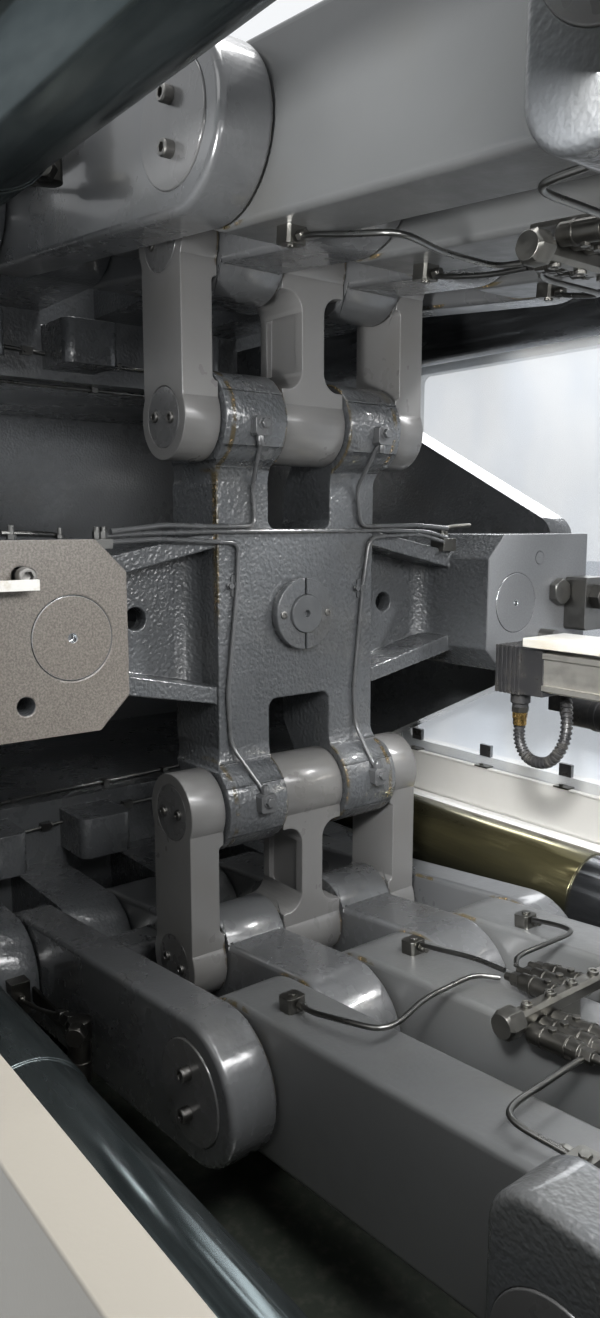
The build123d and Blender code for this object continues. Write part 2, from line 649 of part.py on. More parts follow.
with BuildPart() as rod_collar:
    with BuildSketch(Plane.YZ.offset(HEAD_FRONT_X)):
        with Locations((0, AXIS_Z)):
            Circle(COLLAR_R)
            Circle(ROD_NECK_R + FIT, mode=Mode.SUBTRACT)
            Rectangle(COLLAR_SPLIT, 2 * COLLAR_R, mode=Mode.SUBTRACT)
    extrude(amount=COLLAR_PROUD)

# Crosshead: body plate with two notches, four eye legs, two channel wings and two guide blocks
def leg_outline(y, level):
    """Side view of a leg that swings forward into an eye with a flat front pad."""
    eye_h = CROSS_PIN[1]
    pad_low = eye_h - HEAD_PAD_H / 2
    pad_high = eye_h + HEAD_PAD_H / 2
    crown_x = CROSS_PIN[0] + 40
    with BuildSketch(side_plane(y)) as outline:
        with BuildLine():
            Polyline(
                (crown_x, AXIS_Z + level * (eye_h + 10)),
                (crown_x, AXIS_Z + level * (eye_h + HEAD_EYE_R - 14)),
                (HEAD_PAD_X, AXIS_Z + level * pad_high),
                (HEAD_PAD_X, AXIS_Z + level * pad_low),
            )
            TangentArc(
                (HEAD_FRONT_X, AXIS_Z + level * LEG_STRAIGHT_H),
                (HEAD_PAD_X, AXIS_Z + level * pad_low),
                tangent=(0, level),
            )
            Polyline(
                (HEAD_FRONT_X, AXIS_Z + level * LEG_STRAIGHT_H),
                (HEAD_FRONT_X, AXIS_Z + level * HEAD_HALF_H),
                (HEAD_BACK_X, AXIS_Z + level * HEAD_HALF_H),
                (HEAD_BACK_X, AXIS_Z + level * LEG_STRAIGHT_H),
                (CROSS_PIN[0] - HEAD_EYE_R + 6, AXIS_Z + level * (eye_h - 20)),
                (crown_x, AXIS_Z + level * (eye_h + 10)),
            )
        make_face()
        with Locations((CROSS_PIN[0], AXIS_Z + level * eye_h)):
            Circle(HEAD_EYE_R)
    return outline.sketch


with BuildPart() as leg_waist:
    # Material outside the leg, cut away below each eye so that the eye flares out
    for side in (-1, 1):
        for level in (-1, 1):
            flare_y = side * (INNER_ARM_Y[1] + 20)
            flare_h = LEG_STRAIGHT_H + 32
            with BuildSketch(Plane.YZ.offset(HEAD_BACK_X - 20)):
                with BuildLine():
                    Line(
                        (side * LEG_OUTER_Y, AXIS_Z + level * (HEAD_HALF_H - 20)),
                        (side * LEG_OUTER_Y, AXIS_Z + level * LEG_STRAIGHT_H),
                    )
                    TangentArc(
                        (side * LEG_OUTER_Y, AXIS_Z + level * LEG_STRAIGHT_H),
                        (side * INNER_ARM_Y[1], AXIS_Z + level * flare_h),
                        tangent=(0, level),
                    )
                    Polyline(
                        (side * INNER_ARM_Y[1], AXIS_Z + level * flare_h),
                        (flare_y, AXIS_Z + level * flare_h),
                        (flare_y, AXIS_Z + level * (HEAD_HALF_H - 20)),
                        (side * LEG_OUTER_Y, AXIS_Z + level * (HEAD_HALF_H - 20)),
                    )
                make_face()
            extrude(amount=HEAD_PAD_X - HEAD_BACK_X + 40)

with BuildPart() as wing_pockets:
    # Front recess of both wings: rounded in plan, tapered between the flanges
    for side in (-1, 1):
        with BuildSketch(Plane.XY.offset(AXIS_Z - WING_ROOT_HALF_H)):
            with BuildLine():
                FilletPolyline(
                    (WING_FRONT_X + 20, side * LEG_OUTER_Y),
                    (WING_WEB_X[1], side * LEG_OUTER_Y),
                    (WING_WEB_X[1], side * BLOCK_Y[0]),
                    (WING_FRONT_X + 20, side * BLOCK_Y[0]),
                    radius=WING_POCKET_R,
                )
                Line((WING_FRONT_X + 20, side * BLOCK_Y[0]), (WING_FRONT_X + 20, side * LEG_OUTER_Y))
            make_face()
        extrude(amount=2 * WING_ROOT_HALF_H)
    with BuildSketch(Plane.YZ.offset(WING_WEB_X[1])):
        for side in (-1, 1):
            Polygon(
                (side * LEG_OUTER_Y, AXIS_Z - WING_ROOT_HALF_H + WING_FLANGE),
                (side * BLOCK_Y[0], AXIS_Z - WING_TIP_HALF_H + WING_FLANGE),
                (side * BLOCK_Y[0], AXIS_Z + WING_TIP_HALF_H - WING_FLANGE),
                (side * LEG_OUTER_Y, AXIS_Z + WING_ROOT_HALF_H - WING_FLANGE),
                align=None,
            )
    extrude(amount=WING_FRONT_X + 20 - WING_WEB_X[1], mode=Mode.INTERSECT)

with BuildPart() as crosshead:
    with BuildSketch(Plane.YZ.offset(HEAD_BACK_X)):
        with Locations((0, AXIS_Z)):
            Rectangle(2 * LEG_OUTER_Y, 2 * LEG_STRAIGHT_H)
        for level in (-1, 1):
            notch_depth = LEG_STRAIGHT_H - HEAD_HALF_H + 2 * NOTCH_R
            with Locations((0, AXIS_Z + level * (HEAD_HALF_H + notch_depth / 2))):
                RectangleRounded(2 * INNER_ARM_Y[0], notch_depth, NOTCH_R, mode=Mode.SUBTRACT)
            with Locations((0, AXIS_Z + level * (LEG_STRAIGHT_H + 5))):
                Rectangle(2 * INNER_ARM_Y[0], 50, mode=Mode.SUBTRACT)
    extrude(amount=HEAD_FRONT_X - HEAD_BACK_X)
    for y_high in (INNER_ARM_Y[1], -INNER_ARM_Y[0]):
        for level in (-1, 1):
            extrude(leg_outline(y_high, level), amount=INNER_ARM_W)
    add(leg_waist.part, mode=Mode.SUBTRACT)
    for side in (-1, 1):
        with BuildSketch(Plane.YZ.offset(WING_WEB_X[0])):
            Polygon(
                (side * (LEG_OUTER_Y - 10), AXIS_Z - WING_ROOT_HALF_H),
                (side * (BLOCK_Y[0] + 10), AXIS_Z - WING_TIP_HALF_H),
                (side * (BLOCK_Y[0] + 10), AXIS_Z + WING_TIP_HALF_H),
                (side * (LEG_OUTER_Y - 10), AXIS_Z + WING_ROOT_HALF_H),
                align=None,
            )
        extrude(amount=WING_FRONT_X - WING_WEB_X[0])
        # Guide block: the two corners towards the middle are cut off
        inner = side * BLOCK_Y[0]
        outer = side * BLOCK_Y[1]
        with BuildSketch(Plane.YZ.offset(BLOCK_FACE_X - BLOCK_DEPTH)):
            Polygon(
                (inner, AXIS_Z - BLOCK_HALF_H + BLOCK_CHAMFER),
                (inner + side * BLOCK_CHAMFER, AXIS_Z - BLOCK_HALF_H),
                (outer, AXIS_Z - BLOCK_HALF_H),
                (outer, AXIS_Z + BLOCK_HALF_H),
                (inner + side * BLOCK_CHAMFER, AXIS_Z + BLOCK_HALF_H),
                (inner, AXIS_Z + BLOCK_HALF_H - BLOCK_CHAMFER),
                align=None,
            )
        extrude(amount=BLOCK_DEPTH)
    add(wing_pockets.part, mode=Mode.SUBTRACT)
    # Bores: guide rods, rod neck, web holes, block holes and pins
    with BuildSketch(Plane.YZ.offset(BLOCK_FACE_X - BLOCK_DEPTH)):
        with Locations((-GUIDE_ROD_Y, AXIS_Z), (GUIDE_ROD_Y, AXIS_Z)):
            Circle(GUIDE_ROD_R + FIT)
        with Locations((0, AXIS_Z)):
            Circle(ROD_NECK_R + FIT)
        for side in (-1, 1):
            with Locations((side * (LEG_OUTER_Y + BLOCK_Y[0]) / 2, AXIS_Z)):
                Circle(WING_HOLE_R)
            for level in (-1, 1):
                with Locations((side * BLOCK_HOLE[0], AXIS_Z + level * BLOCK_HOLE[1])):
                    Circle(BLOCK_HOLE_R)
    extrude(amount=BLOCK_DEPTH, mode=Mode.SUBTRACT)
    for level in (-1, 1):
        extrude(
            disc_outline(
                INNER_ARM_Y[1],
                (CROSS_PIN[0], AXIS_Z + level * CROSS_PIN[1]),
                SMALL_PIN_R + FIT,
            ),
            amount=2 * INNER_ARM_Y[1],
            mode=Mode.SUBTRACT,
        )


# Small links between crosshead and rear link
def small_link(y_low, y_high, waist_low, waist_high):
    """Upright link whose shank is narrower than its eyes, waisted at the given sides."""
    top = below(CROSS_PIN)
    bottom = below(MID_PIN)
    waist_top = top[1] - SHANK_EYE_H
    waist_bottom = bottom[1] + SHANK_EYE_H
    with BuildPart() as link:
        for eye in (top, bottom):
            extrude(disc_outline(y_high, eye, SMALL_EYE_R), amount=y_high - y_low)
        with BuildSketch(side_plane(y_high)):
            with Locations((top[0], (top[1] + bottom[1]) / 2)):
                Rectangle(2 * SHANK_HALF_X, top[1] - bottom[1])
        extrude(amount=y_high - y_low)
        for eye in (top, bottom):
            extrude(
                disc_outline(y_high, eye, SMALL_PIN_R + FIT),
                amount=y_high - y_low,
                mode=Mode.SUBTRACT,
            )
        # Waist cuts, rounded where the shank meets the eyes
        with BuildSketch(Plane.YZ.offset(top[0] - SMALL_EYE_R)):
            for edge, waist in ((y_low, waist_low), (y_high, waist_high)):
                if edge != waist:
                    outside = edge + (edge - waist)
                    with Locations(((waist + outside) / 2, (waist_top + waist_bottom) / 2)):
                        RectangleRounded(
                            abs(outside - waist),
                            waist_top - waist_bottom,
                            min(SHANK_ROOT_R, abs(edge - waist) * 0.9),
                        )
        extrude(amount=2 * SMALL_EYE_R, mode=Mode.SUBTRACT)
    return link.part


with BuildPart() as small_middle:
    add(small_link(-CENTRE_HALF_W, CENTRE_HALF_W, -MIDDLE_STEM_HALF, MIDDLE_STEM_HALF))
    # Side pockets that leave an I section in the stem
    pocket_h = CROSS_PIN[1] - MID_PIN[1] + 2 * SHANK_EYE_H + 2 * STEM_POCKET_RIM
    for y_high in (MIDDLE_STEM_HALF, STEM_POCKET_DEPTH - MIDDLE_STEM_HALF):
        with BuildSketch(side_plane(y_high)):
            with Locations((CROSS_PIN[0], AXIS_Z - (CROSS_PIN[1] + MID_PIN[1]) / 2)):
                RectangleRounded(
                    2 * (SHANK_HALF_X - STEM_POCKET_RIM),
                    -pocket_h,
                    STEM_POCKET_R,
                )
        extrude(amount=STEM_POCKET_DEPTH, mode=Mode.SUBTRACT)

small_near = small_link(
    -SMALL_LINK_Y[1],
    -SMALL_LINK_Y[0],
    -SMALL_LINK_Y[1],
    -SMALL_LINK_Y[0] - SHANK_RECESS,
)
with BuildPart() as small_near_cut:
    # Recesses for the keeper covers in the outer faces
    add(small_near)
    for eye in (below(CROSS_PIN), below(MID_PIN)):
        extrude(
            disc_outline(SMALL_COVER_T - SMALL_LINK_Y[1], eye, SMALL_COVER_R + FIT),
            amount=SMALL_COVER_T,
            mode=Mode.SUBTRACT,
        )
small_near = small_near_cut.part
small_far = far_copy(small_near)

with BuildPart() as small_covers:
    for eye in (below(CROSS_PIN), below(MID_PIN)):
        for y_high in (SMALL_LINK_Y[1], SMALL_COVER_T - SMALL_LINK_Y[1]):
            extrude(disc_outline(y_high, eye, SMALL_COVER_R), amount=SMALL_COVER_T)

SMALL_PIN_HALF = SMALL_LINK_Y[1] - SMALL_COVER_T
mid_pin = pin_shaft(below(MID_PIN), SMALL_PIN_R, SMALL_PIN_HALF)
cross_pin = pin_shaft(below(CROSS_PIN), SMALL_PIN_R, SMALL_PIN_HALF)

# Rear link: four arms on one casting, with bosses for the mid pin between the small links
def rounded_arm(outline, y_low, y_high, edge_r):
    """Arm of the given side outline with its long edges rounded."""
    with BuildPart() as arm:
        extrude(outline, amount=y_high - y_low)
        fillet(arm.edges().filter_by(Axis.Y, reverse=True), edge_r)
    return arm.part


with BuildPart() as rear_link:
    tail = below(TAIL_PIN)
    knee = below(KNEE_PIN)
    middle = below(MID_PIN)
    for low, high in REAR_ARM_SPANS:
        add(rounded_arm(bar_outline(high, tail, TAIL_EYE_R, knee, MAIN_EYE_R), low, high, ARM_EDGE_R))
    for low, high in ((-INNER_ARM_Y[1], -INNER_ARM_Y[0]), INNER_ARM_Y):
        with BuildSketch(side_plane(high)):
            with Locations(middle):
                Circle(MID_BOSS_R)
            with Locations((middle[0], middle[1] - MID_BOSS_R)):
                Rectangle(2 * MID_BOSS_R + 2 * MID_BOSS_ROOT, MID_BOSS_ROOT)
            make_hull()
        extrude(amount=high - low)
    web_slope = (knee[1] - tail[1]) / (knee[0] - tail[0])
    web_z = tail[1] + web_slope * (sum(WEB_X) / 2 - tail[0])
    with BuildSketch(side_plane(OUTER_ARM_Y[1] - ARM_EDGE_R)):
        with Locations((sum(WEB_X) / 2, web_z)):
            RectangleRounded(WEB_X[1] - WEB_X[0], 2 * WEB_HALF_H, WEB_EDGE_R)
    extrude(amount=2 * (OUTER_ARM_Y[1] - ARM_EDGE_R))
    for eye in (tail, knee):
        extrude(
            disc_outline(OUTER_ARM_Y[1], eye, MAIN_PIN_R + FIT),
            amount=2 * OUTER_ARM_Y[1],
            mode=Mode.SUBTRACT,
        )
    extrude(
        disc_outline(INNER_ARM_Y[1], middle, SMALL_PIN_R + MID_PIVOT_PLAY),
        amount=2 * INNER_ARM_Y[1],
        mode=Mode.SUBTRACT,
    )
    for y_high in (OUTER_ARM_Y[1], COVER_RECESS - OUTER_ARM_Y[1]):
        extrude(
            disc_outline(y_high, knee, COVER_R + FIT),
            amount=COVER_RECESS,
            mode=Mode.SUBTRACT,
        )


# Front link: three separate arms from the knee to the moving platen
def front_arm(y_low, y_high):
    knee_eye = below(KNEE_PIN)
    front_eye = below(FRONT_PIN)
    outline = bar_outline(y_high, knee_eye, MAIN_EYE_R, front_eye, MAIN_EYE_R)
    with BuildPart() as arm:
        add(rounded_arm(outline, y_low, y_high, ARM_EDGE_R))
        extrude(
            disc_outline(y_high, knee_eye, MAIN_PIN_R + FIT),
            amount=y_high - y_low,
            mode=Mode.SUBTRACT,
        )
        extrude(
            disc_outline(y_high, front_eye, MAIN_PIN_R + FRONT_PIVOT_PLAY),
            amount=y_high - y_low,
            mode=Mode.SUBTRACT,
        )
    return arm.part


front_near = front_arm(-FRONT_ARM_Y[1], -FRONT_ARM_Y[0])
front_middle = front_arm(-CENTRE_HALF_W, CENTRE_HALF_W)
front_far = far_copy(front_near)


# Main pins and their keeper covers
def pin_covers(pin, outer_y):
    """Round covers in the outer eyes of one lower pin."""
    with BuildPart() as covers:
        for y_high in (outer_y + COVER_PROUD, COVER_RECESS - outer_y):
            extrude(disc_outline(y_high, below(pin), COVER_R), amount=COVER_RECESS + COVER_PROUD)
    return covers.part


tail_pin = pin_shaft(below(TAIL_PIN), MAIN_PIN_R, OUTER_TAIL_LUG_Y[1] - COVER_RECESS)
knee_pin = pin_shaft(below(KNEE_PIN), MAIN_PIN_R, OUTER_ARM_Y[1] - COVER_RECESS)
front_pin = pin_shaft(below(FRONT_PIN), MAIN_PIN_R, OUTER_PLATEN_LUG_Y[1] - COVER_RECESS)
tail_covers = pin_covers(TAIL_PIN, OUTER_TAIL_LUG_Y[1])
knee_covers = pin_covers(KNEE_PIN, OUTER_ARM_Y[1])
front_covers = pin_covers(FRONT_PIN, OUTER_PLATEN_LUG_Y[1])


# Guards: sheet frames with a large window, standing on the bed beams
def window_outline(y, sill_z, inset):
    """Window of a guard, smaller than its opening by the inset all round."""
    with BuildSketch(side_plane(y)) as outline:
        with Locations((sum(GUARD_X) / 2, (sill_z + GUARD_TOP_Z - GUARD_RAIL_H) / 2)):
            RectangleRounded(
                GUARD_X[1] - GUARD_X[0] - 2 * GUARD_POST_W - 2 * inset,
                GUARD_TOP_Z - GUARD_RAIL_H - sill_z - 2 * inset,
                GUARD_CORNER_R,
            )
    return outline.sketch


def guard_frame(sill_z):
    """Far guard with a rebate for the pane in its inner face."""
    with BuildPart() as guard:
        with BuildSketch(side_plane(GUARD_Y[1])):
            with Locations((sum(GUARD_X) / 2, BED_TOP_Z)):
                Rectangle(
                    GUARD_X[1] - GUARD_X[0],
                    GUARD_TOP_Z - BED_TOP_Z,
                    align=(Align.CENTER, Align.MIN),
                )
        extrude(amount=GUARD_T)
        extrude(
            window_outline(GUARD_Y[1], sill_z, GUARD_REBATE),
            amount=GUARD_T,
            mode=Mode.SUBTRACT,
        )
        extrude(
            window_outline(GUARD_Y[0] + GUARD_REBATE_DEPTH, sill_z, 0),
            amount=GUARD_REBATE_DEPTH,
            mode=Mode.SUBTRACT,
        )
    return guard.part


guard_near = far_copy(guard_frame(NEAR_SILL_Z))
guard_far = guard_frame(FAR_SILL_Z)
with BuildPart() as guard_pane:
    extrude(
        window_outline(GUARD_Y[0] + GUARD_REBATE_DEPTH, FAR_SILL_Z, PANE_PLAY),
        amount=PANE_T,
    )


# Position transducer between crosshead and moving platen
with BuildPart() as position_transducer:
    with BuildSketch(Plane.YZ.offset(SENSOR_X[0])):
        with Locations((sum(SENSOR_Y) / 2, AXIS_Z + sum(SENSOR_Z) / 2)):
            RectangleRounded(SENSOR_Y[1] - SENSOR_Y[0], SENSOR_Z[1] - SENSOR_Z[0], SENSOR_CORNER_R)
    extrude(amount=MOVING_PLATEN_X[0] - SENSOR_X[0])

near_bars = both([tie_bar.part, upper_copy(tie_bar.part)])
save(far_copy(bed_far.part), "bed_near")
save(bed_far.part, "bed_far")
save(bed_cross_members.part, "bed_cross_members")
save(drip_plate.part, "drip_plate")
save(tail_rear_wall.part, "tail_platen_rear_wall")
save(tail_lower_beam.part, "tail_platen_lower_beam")
save(tail_upper_beam.part, "tail_platen_upper_beam")
save(far_copy(tail_side_far.part), "tail_platen_side_near")
save(tail_side_far.part, "tail_platen_side_far")
save(moving_platen.part, "moving_platen")
save(platen_lugs.part, "moving_platen_lugs_lower")
save(upper_copy(platen_lugs.part), "moving_platen_lugs_upper")
save(stationary_platen.part, "stationary_platen")
save(both([near_bars, far_copy(near_bars)]), "tie_bars")
save(both([nut_set(TAIL_WALL_X[0] - NUT_LENGTH), nut_set(FIXED_PLATEN_X[1])]), "tie_bar_nuts")
save(both([guide_rod.part, far_copy(guide_rod.part)]), "guide_rods")
save(clamp_cylinder.part, "clamp_cylinder")
save(both([tail_pin, upper_copy(tail_pin)]), "tail_pins")
save(both([tail_covers, upper_copy(tail_covers)]), "tail_pin_covers")
save(both([front_pin, upper_copy(front_pin)]), "platen_pins")
save(both([front_covers, upper_copy(front_covers)]), "platen_pin_covers")
save(position_transducer.part, "position_transducer")
save(guard_near, "guard_near")
save(guard_far, "guard_far")
save(guard_pane.part, "guard_pane_far")
save(crosshead.part, "crosshead")
save(piston_rod.part, "piston_rod")
save(rod_collar.part, "rod_collar")
save(both([cross_pin, upper_copy(cross_pin)]), "crosshead_pins")
for level, place in (("lower", lambda shape: shape), ("upper", upper_copy)):
    save(place(both([small_near, small_middle.part, small_far])), f"small_links_{level}")
    save(place(mid_pin), f"mid_pin_{level}")
    save(place(small_covers.part), f"small_pin_covers_{level}")
    save(place(rear_link.part), f"rear_link_{level}")
    save(place(knee_pin), f"knee_pin_{level}")
    save(place(knee_covers), f"knee_pin_covers_{level}")
    save(place(front_near), f"front_arm_{level}_near")
    save(place(front_middle), f"front_arm_{level}_middle")
    save(place(front_far), f"front_arm_{level}_far")
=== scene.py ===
"""Looks of the toggle clamp unit: finishes, fastenings, lubrication lines and the studio around it.

Lengths are millimetres in the machine's frame: X runs from the clamp cylinder to the stationary
platen, Y away from the operator, Z up from the floor. The camera, the lamps and the places that a
finish reads from the surface are in metres.
"""

import json
import math

import bmesh
import bpy
from mathutils import Matrix, Vector


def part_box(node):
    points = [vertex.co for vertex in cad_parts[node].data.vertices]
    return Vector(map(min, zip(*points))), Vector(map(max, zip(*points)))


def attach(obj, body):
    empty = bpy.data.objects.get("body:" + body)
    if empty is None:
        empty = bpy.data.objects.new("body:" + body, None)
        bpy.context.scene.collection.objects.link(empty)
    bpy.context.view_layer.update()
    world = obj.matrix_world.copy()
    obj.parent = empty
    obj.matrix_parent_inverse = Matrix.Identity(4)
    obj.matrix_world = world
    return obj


MM = 0.001
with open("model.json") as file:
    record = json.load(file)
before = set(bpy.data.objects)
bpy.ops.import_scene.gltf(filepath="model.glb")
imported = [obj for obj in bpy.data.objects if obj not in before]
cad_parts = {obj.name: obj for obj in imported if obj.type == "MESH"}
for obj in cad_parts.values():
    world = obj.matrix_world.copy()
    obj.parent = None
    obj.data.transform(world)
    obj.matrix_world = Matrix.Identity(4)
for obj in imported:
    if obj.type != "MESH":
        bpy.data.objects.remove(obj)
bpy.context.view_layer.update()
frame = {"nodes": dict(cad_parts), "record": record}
nodes = frame["nodes"]

# Camera, fitted to the symmetric crosshead
CAMERA_AT_M = (1.1303, -0.8531, 1.432)
CAMERA_YAW = 38.02
CAMERA_TILT = 8.27
CAMERA_LENS = 25.487
CAMERA_SENSOR = 36.0

# Turning points of the toggles, as X and the height above or below the clamp axis
AXIS_Z = 1300.0
CROSS_PIN = (20.0, 271.0)
MID_PIN = (20.0, 494.0)
TAIL_PIN = (-290.0, 585.0)
KNEE_PIN = (242.0, 538.0)
FRONT_PIN = (774.0, 491.0)
LEVELS = {"lower": -1, "upper": 1}

# Tie bars and guide block holes, as Y and the height above or below the clamp axis
TIE_BAR_AT = (515, 518)
BLOCK_HOLE_AT = (457, 74)

# Faces that carry fittings
HEAD_FRONT_X = 39.0
BLOCK_FACE_X = 120.0
BRACKET_X = BLOCK_FACE_X + 0.5
ARM_TOP_AT_ZERO = 831.0
ARM_SLOPE = 0.0885

# Tubes and the corrugated lead, with the corners of their sections
TUBE_R = 3.3
TUBE_SIDES = 14
LEAD_R = 9.6
LEAD_GROOVE_R = 0.78 * LEAD_R
LEAD_SIDES = 20

# Ways that a turned or drawn form looks
FRONT = (1, 0, 0)
FAR = (0, 1, 0)
NEAR = (0, -1, 0)
DOWN = (0, 0, -1)
ARM_UP = (-ARM_SLOPE, 0, 1)


class Nodes:
    """One material, with short names for its shader nodes."""

    def __init__(self, name):
        self.material = bpy.data.materials.new(name)
        self.material.use_nodes = True
        self.tree = self.material.node_tree
        self.tree.nodes.clear()
        output = self.tree.nodes.new("ShaderNodeOutputMaterial")
        self.shader = self.tree.nodes.new("ShaderNodeBsdfPrincipled")
        self.tree.links.new(self.shader.outputs[0], output.inputs[0])
        self.coords = self.tree.nodes.new("ShaderNodeTexCoord").outputs["Object"]
        axes = self.tree.nodes.new("ShaderNodeSeparateXYZ")
        self.tree.links.new(self.coords, axes.inputs[0])
        self.axes = dict(zip("XYZ", axes.outputs))

    def feed(self, socket, value):
        """Links an output to the socket, or sets the socket to a number or a colour."""
        if isinstance(value, bpy.types.NodeSocket):
            self.tree.links.new(value, socket)
        elif isinstance(value, (tuple, list)) and len(value) == 3 and socket.type == "RGBA":
            socket.default_value = (*value, 1.0)
        else:
            socket.default_value = value

    def stretched(self, x, y, z):
        """The surface's place, drawn out along the axes whose factor is small."""
        node = self.tree.nodes.new("ShaderNodeMapping")
        node.inputs["Scale"].default_value = (x, y, z)
        self.tree.links.new(self.coords, node.inputs["Vector"])
        return node.outputs[0]

    def noise(self, size, detail=3.0, rough=0.5, coords=None):
        """Soft noise whose lumps are about size millimetres across."""
        node = self.tree.nodes.new("ShaderNodeTexNoise")
        self.tree.links.new(coords or self.coords, node.inputs["Vector"])
        node.inputs["Scale"].default_value = 1.0 / (size * MM)
        node.inputs["Detail"].default_value = detail
        node.inputs["Roughness"].default_value = rough
        return node.outputs["Fac"]

    def curve(self, value, low, high, to_low=0.0, to_high=1.0):
        """Brings a value that runs from low to high to the range given, smoothly and clamped."""
        node = self.tree.nodes.new("ShaderNodeMapRange")
        node.interpolation_type = "SMOOTHSTEP"
        self.feed(node.inputs["Value"], value)
        ends = {"From Min": low, "From Max": high, "To Min": to_low, "To Max": to_high}
        for socket, number in ends.items():
            self.feed(node.inputs[socket], number)
        return node.outputs[0]

    def math(self, operation, a, b=0.0):
        node = self.tree.nodes.new("ShaderNodeMath")
        node.operation = operation
        node.use_clamp = operation == "ADD"
        self.feed(node.inputs[0], a)
        self.feed(node.inputs[1], b)
        return node.outputs[0]

    def times(self, a, b):
        return self.math("MULTIPLY", a, b)

    def plus(self, a, b):
        """The sum, held at 1 at most."""
        return self.math("ADD", a, b)

    def less(self, a, b):
        return self.math("SUBTRACT", a, b)

    def mix(self, share, a, b):
        """From colour a to colour b."""
        node = self.tree.nodes.new("ShaderNodeMix")
        node.data_type = "RGBA"
        self.feed(node.inputs[0], share)
        self.feed(node.inputs[6], a)
        self.feed(node.inputs[7], b)
        return node.outputs[2]

    def blend(self, share, a, b):
        """From number a to number b."""
        node = self.tree.nodes.new("ShaderNodeMix")
        self.feed(node.inputs[0], share)
        self.feed(node.inputs[2], a)
        self.feed(node.inputs[3], b)
        return node.outputs[0]

    def facing_sideways(self):
        """1 where the surface looks along Y, one way or the other."""
        geometry = self.tree.nodes.new("ShaderNodeNewGeometry")
        parts = self.tree.nodes.new("ShaderNodeSeparateXYZ")
        self.tree.links.new(geometry.outputs["True Normal"], parts.inputs[0])
        return self.curve(self.math("ABSOLUTE", parts.outputs["Y"]), 0.95, 0.97)

    def near(self, value, middle, reach, soft):
        """1 where a length in metres is within reach of the middle, both in millimetres."""
        away = self.math("ABSOLUTE", self.less(value, middle * MM))
        return self.curve(away, (reach + soft) * MM, reach * MM)

    def around(self, pins):
        """1 near the turning points, on both levels. Each is (X, height from the clamp axis, reach)."""
        height = self.math("ABSOLUTE", self.less(self.axes["Z"], AXIS_Z * MM))
        total = 0.0
        for x, rise, reach in pins:
            dx = self.less(self.axes["X"], x * MM)
            dz = self.less(height, rise * MM)
            squares = self.plus(self.math("POWER", dx, 2), self.math("POWER", dz, 2))
            away = self.math("SQRT", squares)
            total = self.plus(total, self.curve(away, (reach + 6) * MM, reach * MM))
        return total

    def bump(self, height, depth, strength, below=None):
        """A normal that rises and falls by depth millimetres, on top of another one if given."""
        node = self.tree.nodes.new("ShaderNodeBump")
        node.inputs["Strength"].default_value = strength
        node.inputs["Distance"].default_value = depth * MM
        self.feed(node.inputs["Height"], height)
        if below is not None:
            self.feed(node.inputs["Normal"], below)
        return node.outputs[0]

    def surface(self, color, rough, normal, **fixed):
        """Feeds the shader and returns the finished material."""
        self.feed(self.shader.inputs["Base Color"], color)
        self.feed(self.shader.inputs["Roughness"], rough)
        self.feed(self.shader.inputs["Normal"], normal)
        for name, value in fixed.items():
            self.feed(self.shader.inputs[name.replace("_", " ")], value)
        return self.material


def round_edges(piece, width, angle):
    """A small bevel on every edge that is sharper than the angle."""
    bevel = piece.modifiers.new("edges", "BEVEL")
    bevel.limit_method = "ANGLE"
    bevel.angle_limit = math.radians(angle)
    bevel.width = width * MM
    bevel.segments = 2
    bevel.harden_normals = True
    return bevel


